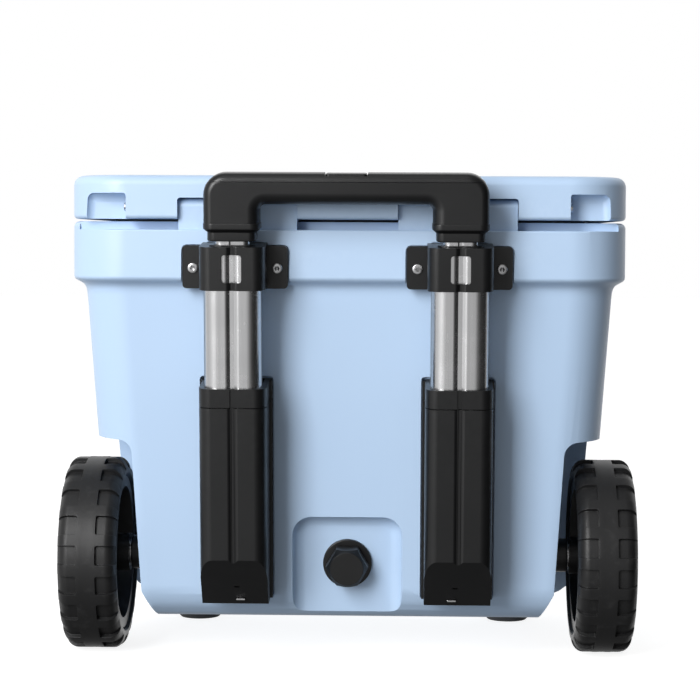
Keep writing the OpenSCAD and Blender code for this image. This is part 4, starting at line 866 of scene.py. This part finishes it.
PEG_IN = 0.0060
TOE_DEEP = 0.034
for side, node in ((-1, "casing_left"), (1, "casing_right")):
    casing = loose(cad_copy(node))
    toe_z = casing_low.z
    # The slot in the toe, and below it the seat of the peg
    for up, inwards, half, tall in ((0.0208, 0.0025, 0.0029, 0.0008),
                                    (0.0068, PEG_IN, 0.0050, 0.0012)):
        seat = shifted(box_outline(half, toe_z + up - tall, toe_z + up + tall),
                       side * (tube_x - inwards))
        combine(casing, prism(seat, "Y", casing_low.y, casing_low.y + TOE_DEEP,
                              corners=all_round(tall * 0.95), steps=3, place=handle_frame))
    cut_groove(casing, side, casing_low.y, toe_z + 0.050, casing_high.z + 0.01)
    bm = reopen(casing)
    soften_lips(bm, side, casing_low.y, 0.010)
    soften(bm, 0.0030, 4, lambda m, e: toe_z + 0.045 < at(m, side).z < toe_z + 0.060
           and rise(e) < 0.003 and abs(at(m, side).x) > 0.003, sharp=15)
    soften(bm, 0.0009, 2, lambda m, e: (to_handle @ m).y < casing_high.y - 0.006
           and abs(abs((to_handle @ m).x) - tube_x) > 0.026
           and (to_handle @ m).z < casing_high.z - 0.001, sharp=50)
    fit_black(loose(bm), node.replace("casing", "casing_shell"), "cooler_body", node)
    peg = prism(shifted(box_outline(0.0046, toe_z + 0.0060, toe_z + 0.0077),
                        side * (tube_x - PEG_IN)),
                "Y", casing_low.y + 0.0205, casing_low.y + TOE_DEEP,
                corners=all_round(0.0008), steps=3, place=handle_frame)
    soften(peg, 0.0003, 2, sharp=60)
    fit_piece(loose(peg), node.replace("casing", "toe_peg"), "cooler_body", "steel", steel)
bm = cad_copy("casing_collars")
lowest = min((to_handle @ v.co).z for v in bm.verts)
# The collar's foot is drawn up, which leaves a fine parting line
for vert in bm.verts:
    spot = to_handle @ vert.co
    if spot.z < lowest + 0.0002:
        vert.co = handle_frame @ (spot + Vector((0, 0, 0.0005)))
soften(bm, 0.0008, 2, lambda m, e: (to_handle @ m).z < lowest + 0.002, sharp=50)
soften(bm, 0.0014, 3, lambda m, e: (to_handle @ m).z > lowest + 0.012, sharp=50)
fit_black(loose(bm), "casing_caps", "cooler_body", "casing_collars")

# ---------------- grip
# The grip is a black moulding in two halves: a wide bar with a leg over each inner tube, and a
# cover snapped on along a seam. A button in the cover drops a bar that frees both locks.

GRIP_TOP = 0.0959
GRIP_FOOT = 0.0452
BAR_BOTTOM = 0.0643
LEG_HALF = 0.02825
GRIP_DEEP = 0.034
COVER_Z = 0.0873
SEAM = 0.0004
BUTTON_HALF = 0.0205
TUBE_HALF, TUBE_DEEP = 0.0177, 0.0071

out_x, in_x = tube_x + LEG_HALF, tube_x - LEG_HALF
front_view = [(-out_x, GRIP_FOOT), (-in_x, GRIP_FOOT), (-in_x, BAR_BOTTOM), (in_x, BAR_BOTTOM),
              (in_x, GRIP_FOOT), (out_x, GRIP_FOOT), (out_x, GRIP_TOP), (-out_x, GRIP_TOP)]
bm = prism(front_view, "Y", -GRIP_DEEP / 2, GRIP_DEEP / 2,
           corners={6: 0.022, 7: 0.022, 2: 0.006, 3: 0.006}, steps=10)
# The hand closes round its lower and inner edges, which are rounder than the outer ones
for inner, radius in ((True, 0.0122), (False, 0.0085)):
    edges = []
    for e in bm.edges:
        one, other = (v.co for v in e.verts)
        x, z = abs(one.x + other.x) / 2, (one.z + other.z) / 2
        if (abs(abs(one.y) - GRIP_DEEP / 2) < 1e-6 and abs(one.y - other.y) < 1e-6
                and e.calc_face_angle(0) > 0.6 and z > GRIP_FOOT + 1e-5
                and inner == (x < in_x + 0.0001 and z < BAR_BOTTOM + 0.0001)):
            edges.append(e)
    round_over(bm, edges, radius, 7)
bmesh.ops.recalc_face_normals(bm, faces=bm.faces)


def half_of_grip(whole, height, keep_above):
    """The part of the grip on one side of the cover's seam."""
    half = whole.copy()
    cut = bmesh.ops.bisect_plane(half, geom=list(half.verts) + list(half.edges)
                                 + list(half.faces), plane_co=(0, 0, height),
                                 plane_no=(0, 0, 1), clear_inner=keep_above,
                                 clear_outer=not keep_above)
    bmesh.ops.holes_fill(half, edges=[g for g in cut["geom_cut"]
                                      if isinstance(g, bmesh.types.BMEdge)])
    soften(half, 0.0008, 2, lambda m, e: abs(m.z - height) < 1e-5, sharp=20)
    return half


lower = loose(half_of_grip(bm, COVER_Z - SEAM / 2, False))
cover = loose(half_of_grip(bm, COVER_Z + SEAM / 2, True))
bm.free()
combine(lower, prism(box_outline(tube_x + 0.012, 0.0692, COVER_Z + 0.01), "Y", -0.007, 0.007))
for side in (-1, 1):
    well = shifted(box_outline(TUBE_HALF, GRIP_FOOT - 0.01, 0.0703), side * tube_x)
    combine(lower, prism(well, "Y", -TUBE_DEEP, TUBE_DEEP))
bm = reopen(lower)
lean_back(bm)
fit_black(loose(bm), "grip_bar", "handle_upper", "grip_lower")
hole = prism(box_outline(BUTTON_HALF + 0.0003, -0.0103, 0.0103), "Z", COVER_Z - 0.01,
             GRIP_TOP + 0.01, corners=all_round(0.003), steps=5)
combine(cover, hole)
combine(cover, prism(box_outline(BUTTON_HALF + 0.0012, GRIP_TOP - 0.003, GRIP_TOP + 0.01), "Y",
                     -0.05, 0.05, corners={0: 0.002, 1: 0.002}, steps=4))
bm = reopen(cover)
soften(bm, 0.0007, 2, lambda m, e: abs(m.x) < 0.030 and m.z > GRIP_TOP - 0.006, sharp=40)
lean_back(bm)
fit_black(loose(bm), "grip_lid", "handle_upper", "grip_cover")
black_copy("release_button", "button_cap", "release", 0.0012, 3,
           lambda m, e: (to_handle @ m).z > GRIP_TOP - 0.003)
# Each leg ring has a foot, a neck and a wider collar: height, half width, half depth, corner
RING_LEVELS = [
    (0.0272, 0.0232, 0.0120, 0.0070), (0.0276, 0.0242, 0.0130, 0.0078),
    (0.0287, 0.0248, 0.0135, 0.0080), (0.0362, 0.0248, 0.0135, 0.0080),
    (0.0390, 0.0280, 0.0168, 0.0095), (0.0396, 0.0287, 0.0175, 0.0100),
    (0.0402, 0.0289, 0.0177, 0.0102), (0.0446, 0.0289, 0.0177, 0.0102),
    (0.0452, 0.0287, 0.0175, 0.0100), (0.0455, 0.0280, 0.0168, 0.0095)]
rings_mesh = bmesh.new()
for side in (-1, 1):
    ring = bmesh.new()
    skin_over(ring, [rounded_ring(ring, half, -deep, deep, radius, z, steps=8)
                     for z, half, deep, radius in RING_LEVELS])
    ring = loose(ring)
    combine(ring, prism(box_outline(TUBE_HALF, 0.02, 0.05), "Y", -TUBE_DEEP, TUBE_DEEP))
    for vert in ring.data.vertices:
        vert.co.x += side * tube_x
    rings_mesh.from_mesh(ring.data)
    bpy.data.objects.remove(ring)
lean_back(rings_mesh)
fit_black(rings_mesh, "leg_rings", "handle_upper", "grip_collars")
# The spring under the button, which shortens by the button's stroke, gets a mesh of its own
coil = fit_piece(cad_copy("button_spring"), "button_coil", "handle_upper", "steel", steel,
                 "button_spring")
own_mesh(coil)

# ---------------- tyres
# A thick soft-plastic tyre is shrunk on each wheel. Two rows of square pockets are moulded into its
# tread and run out over the round shoulders, with a fine mould line around the middle.

TREAD_PITCHES = 20
TREAD_DEEP = 0.004
BAND_HALF = 0.010
SHOULDER = 0.014
STEPS = 160

hub_low, hub_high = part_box("wheel_rim_right")
wheel_x = (tyre_low.x + tyre_high.x) / 2
half_w = (tyre_high.x - tyre_low.x) / 2
seat_r = (hub_high.z - hub_low.z) / 2
bead_r = (seat_r + tyre_r - SHOULDER) / 2


def wheel_place(side):
    """Puts a wheel made around Z, outer face up, on its axle."""
    return (Matrix.Translation((side * wheel_x, axle_y, tyre_r + 0.00001))
            @ Matrix.Rotation(side * math.pi / 2, 4, "Y"))


tread_rubber = grained("tread_rubber", (0.011, 0.011, 0.0115), (0.016, 0.016, 0.0165), 0.40,
                       700.0, 0.00010, specular=0.32)
bm = bmesh.new()
outline = [(seat_r, half_w - 0.008), (seat_r + 0.0006, half_w - 0.0035), (bead_r, half_w)]
for degrees in (90, 78, 66, 54, 42, 30, 20, 10, 0):
    outline.append((tyre_r - SHOULDER + SHOULDER * math.cos(math.radians(degrees)),
                    half_w - 0.012 + 0.012 * math.sin(math.radians(degrees))))
outline += [(tyre_r, BAND_HALF + 0.004), (tyre_r, BAND_HALF), (tyre_r, 0.005),
            (tyre_r - 0.0002, 0.0009), (tyre_r, 0.0)]
outline += [(r, -a) for r, a in outline[-2::-1]]
ring = [bm.verts.new((r, 0, a)) for r, a in outline]
for first, second in zip(ring, ring[1:]):
    bm.edges.new((first, second))
bm.edges.new((ring[-1], ring[0]))
bmesh.ops.spin(bm, geom=list(bm.verts) + list(bm.edges), cent=(0, 0, 0), axis=(0, 0, 1),
               angle=2 * math.pi, steps=STEPS, use_merge=True, use_duplicate=False)
bmesh.ops.recalc_face_normals(bm, faces=bm.faces)
pocket = []
for face in bm.faces:
    middle = face.calc_center_median()
    turn = math.degrees(math.atan2(middle.y, middle.x)) % (360 / TREAD_PITCHES)
    if (abs(middle.z) > BAND_HALF and turn < 11.25 - 0.01
            and math.hypot(middle.x, middle.y) > tyre_r - SHOULDER + 0.001):
        pocket.append(face)
sunk = bmesh.ops.extrude_face_region(bm, geom=pocket)
bmesh.ops.delete(bm, geom=pocket, context="FACES")
for vert in [g for g in sunk["geom"] if isinstance(g, bmesh.types.BMVert)]:
    r = math.hypot(vert.co.x, vert.co.y)
    # The pockets run out to nothing at the foot of the shoulder
    deep = TREAD_DEEP * min(1, (r - (tyre_r - SHOULDER)) / (SHOULDER * 0.45))
    vert.co.x *= (r - deep) / r
    vert.co.y *= (r - deep) / r
bmesh.ops.remove_doubles(bm, verts=bm.verts, dist=0.00001)
soften(bm, 0.0020, 3, lambda m, e: abs(abs(m.z) - BAND_HALF) < 0.0004 and abs(
    math.hypot(*e.verts[0].co.xy) - math.hypot(*e.verts[1].co.xy)) > 0.003, sharp=60)
soften(bm, 0.0009, 2, lambda m, e: math.hypot(m.x, m.y) > tyre_r - SHOULDER * 0.75
       and abs(m.z) > 0.004, sharp=40)
tread = loose(bm)
for side, hand in ((-1, "left"), (1, "right")):
    bm = bmesh.new()
    bm.from_mesh(tread.data)
    bmesh.ops.transform(bm, matrix=wheel_place(side), verts=bm.verts)
    fit_piece(loose(bm), f"tyre_{hand}_tread", f"wheel_{hand[0]}", "tread_rubber", tread_rubber,
              f"tyre_{hand}", crease=38)
bpy.data.objects.remove(tread)

# ---------------- wheels and axles
# Black spoked wheels turn on steel stub axles in nylon bushes, between washers. A spring clip holds
# each under its snapped-in hub cap, and four small screws join the two halves of the hub.

HUB_SCREW_R = 0.0155
for side, hand in ((-1, "left"), (1, "right")):
    to_wheel = wheel_place(side).inverted()
    black_copy(f"wheel_rim_{hand}", f"wheel_{hand}_spokes", f"wheel_{hand[0]}", 0.0014, 3,
               lambda m, e: 0.022 < math.hypot(*(to_wheel @ m).xy) < seat_r - 0.004, sharp=45)
    black_copy(f"hub_cap_{hand}", f"wheel_{hand}_cap", f"wheel_{hand[0]}", 0.0010, 3, sharp=40)
    screws = bmesh.new()
    inner_face = hub_low.x - wheel_x
    for turn in (45, 135, 225, 315):
        spot = Vector((HUB_SCREW_R * math.cos(math.radians(turn)),
                       HUB_SCREW_R * math.sin(math.radians(turn)), inner_face - 0.0004))
        bmesh.ops.create_cone(screws, cap_ends=True, segments=24, radius1=0.0019,
                              radius2=0.0026, depth=0.0012, matrix=Matrix.Translation(spot))
    tops = [f for f in screws.faces if f.normal.z < -0.9 and len(f.verts) > 6]
    bmesh.ops.inset_region(screws, faces=tops, thickness=0.0007, depth=0.0)
    bmesh.ops.inset_region(screws, faces=tops, thickness=0.0001, depth=-0.0006)
    bmesh.ops.transform(screws, matrix=wheel_place(side), verts=screws.verts)
    fit_piece(screws, f"hub_screws_{hand}", f"wheel_{hand[0]}", "steel", steel)
black_copy("axle_spacers", "axle_collars", "cooler_body", 0.0015, 3,
           lambda m, e: math.hypot(m.y - axle_y, m.z - tyre_r) > 0.012)
refinish(black_plastic, "axle_inserts")
refinish(nylon, "wheel_bushes_left", "wheel_bushes_right")
refinish(steel, "axles", "axle_washers", "axle_clips")

# ---------------- drain
# A black threaded fitting is sealed in the wall, and a hexagonal plug with a round nose screws into
# it on a rubber ring.

black_copy("drain_fitting", "drain_flange", "cooler_body", 0.0012, 3,
           lambda m, e: (to_handle @ m).y < recess_floor - 0.001, sharp=40)
black_copy("drain_plug", "drain_cap_piece", "drain_cap", 0.0012, 3,
           lambda m, e: (to_handle @ m).y < recess_floor - 0.004, sharp=35)
refinish(seal_rubber, "plug_gasket")

# ---------------- feet
# Two round grey rubber feet are screwed to bosses under the front, level with the tyres.

foot_rubber = grained("grey_foot_rubber", (0.070, 0.072, 0.075), (0.090, 0.092, 0.095), 0.7,
                      800.0, 0.00008, specular=0.3)
edged_copy("front_feet", "feet_pads", "cooler_body", "foot_rubber", foot_rubber, 0.0020, 3,
           lambda m, e: m.z < foot_high.z - 0.001)
refinish(steel, "foot_screws")

# ---------------- floor, light and camera
# A white floor without an end in a white room. One large soft light stands to the upper left behind
# the cooler and a weaker one overhead, and the room's right side is dark, which models the shapes.

floor_mesh = bmesh.new()
bmesh.ops.create_grid(floor_mesh, x_segments=1, y_segments=1, size=14)
floor = loose(floor_mesh, "floor")
floor_paint, tree, shader = blank_finish("white_floor")


def grey(level):
    return (level, level, level, 1)


tree.links.new(mix_colour(tree, noise(tree, coordinate(tree), 3.0, 3.0), grey(0.86), grey(0.90)),
               shader.inputs["Base Color"])
shader.inputs["Roughness"].default_value = 0.7
shader.inputs["Specular IOR Level"].default_value = 0.0
# Its own faint light keeps it white out to the horizon, and what the cooler mirrors is the room
glow = add(tree, "ShaderNodeEmission", {"Color": grey(1), "Strength": 1.7})
both = add(tree, "ShaderNodeMixShader", {0: 0.5, 1: shader.outputs[0], 2: glow.outputs[0]})
clear = add(tree, "ShaderNodeBsdfTransparent")
shown = add(tree, "ShaderNodeMixShader", {0: add(tree, "ShaderNodeLightPath").outputs[
    "Is Camera Ray"], 1: clear.outputs[0], 2: both.outputs[0]})
tree.links.new(shown.outputs[0], tree.nodes["Material Output"].inputs["Surface"])
floor.data.materials.append(floor_paint)

room = bpy.data.worlds.new("white_room")
room.use_nodes = True
tree = room.node_tree
lit = tree.nodes["Background"]
lit.inputs["Strength"].default_value = 1.0
ways = add(tree, "ShaderNodeSeparateXYZ", {0: coordinate(tree, "Generated")}).outputs
east, north = (scaled(tree, ways[axis], ways[axis]) for axis in "XY")
level_reach = scaled(tree, scaled(tree, east, north, "ADD"), 0.5, "POWER")
sideways = scaled(tree, ways["X"], level_reach, "DIVIDE")
across = spread(tree, sideways, -1.0, 1.0)
walls = add(tree, "ShaderNodeValToRGB", {"Fac": across})
stops = walls.color_ramp.elements
stops[0].position, stops[0].color = 0.0, grey(0.60)
stops[1].position, stops[1].color = 1.0, grey(0.02)
for position, level in ((0.12, 0.84), (0.25, 0.86), (0.36, 0.68), (0.50, 0.52), (0.62, 0.36),
                       (0.74, 0.12), (0.87, 0.035)):
    stops.new(position).color = grey(level)
# The room is dim overhead, bright ahead of the cooler's front, and dark below
upper = mix_colour(tree, spread(tree, ways["Z"], 0.30, 0.85), walls.outputs[0], grey(0.24))
around = mix_colour(tree, spread(tree, ways["Y"], 0.15, 0.80), upper, grey(1.1))
ground = spread(tree, ways["Z"], -0.25, -0.75)
tree.links.new(mix_colour(tree, ground, around, grey(0.14)), lit.inputs["Color"])
seen = add(tree, "ShaderNodeBackground", {"Color": grey(1), "Strength": 1.0})
both = add(tree, "ShaderNodeMixShader", {0: add(tree, "ShaderNodeLightPath").outputs[
    "Is Camera Ray"], 1: lit.outputs[0], 2: seen.outputs[0]})
tree.links.new(both.outputs[0], tree.nodes["World Output"].inputs["Surface"])
bpy.context.scene.world = room
for name, spot, aim, size, tall, power in (
        ("key_light", (-1.6, -2.9, 1.6), (0, -0.1, 0.28), 1.4, 2.4, 126),
        ("top_light", (-0.3, -1.2, 3.0), (0, 0, 0.2), 1.6, 1.6, 6)):
    lamp = bpy.data.lights.new(name, "AREA")
    lamp.shape = "RECTANGLE"
    lamp.size = size
    lamp.size_y = tall
    lamp.energy = power
    holder = bpy.data.objects.new(name, lamp)
    holder.location = spot
    holder.rotation_euler = (Vector(aim) - Vector(spot)).to_track_quat("-Z", "Y").to_euler()
    bpy.context.scene.collection.objects.link(holder)

eye = bpy.data.cameras.new("camera")
eye.lens = 108.5
eye.sensor_width = 36
camera = bpy.data.objects.new("camera", eye)
camera.location = (0.063, -2.3506, 0.4411)
camera.rotation_euler = (math.radians(90 - 2.958), math.radians(-0.26), math.radians(1.6))
bpy.context.scene.collection.objects.link(camera)
bpy.context.scene.camera = camera
bpy.context.scene.view_settings.view_transform = "Standard"
bpy.context.scene.view_settings.exposure = 0.0
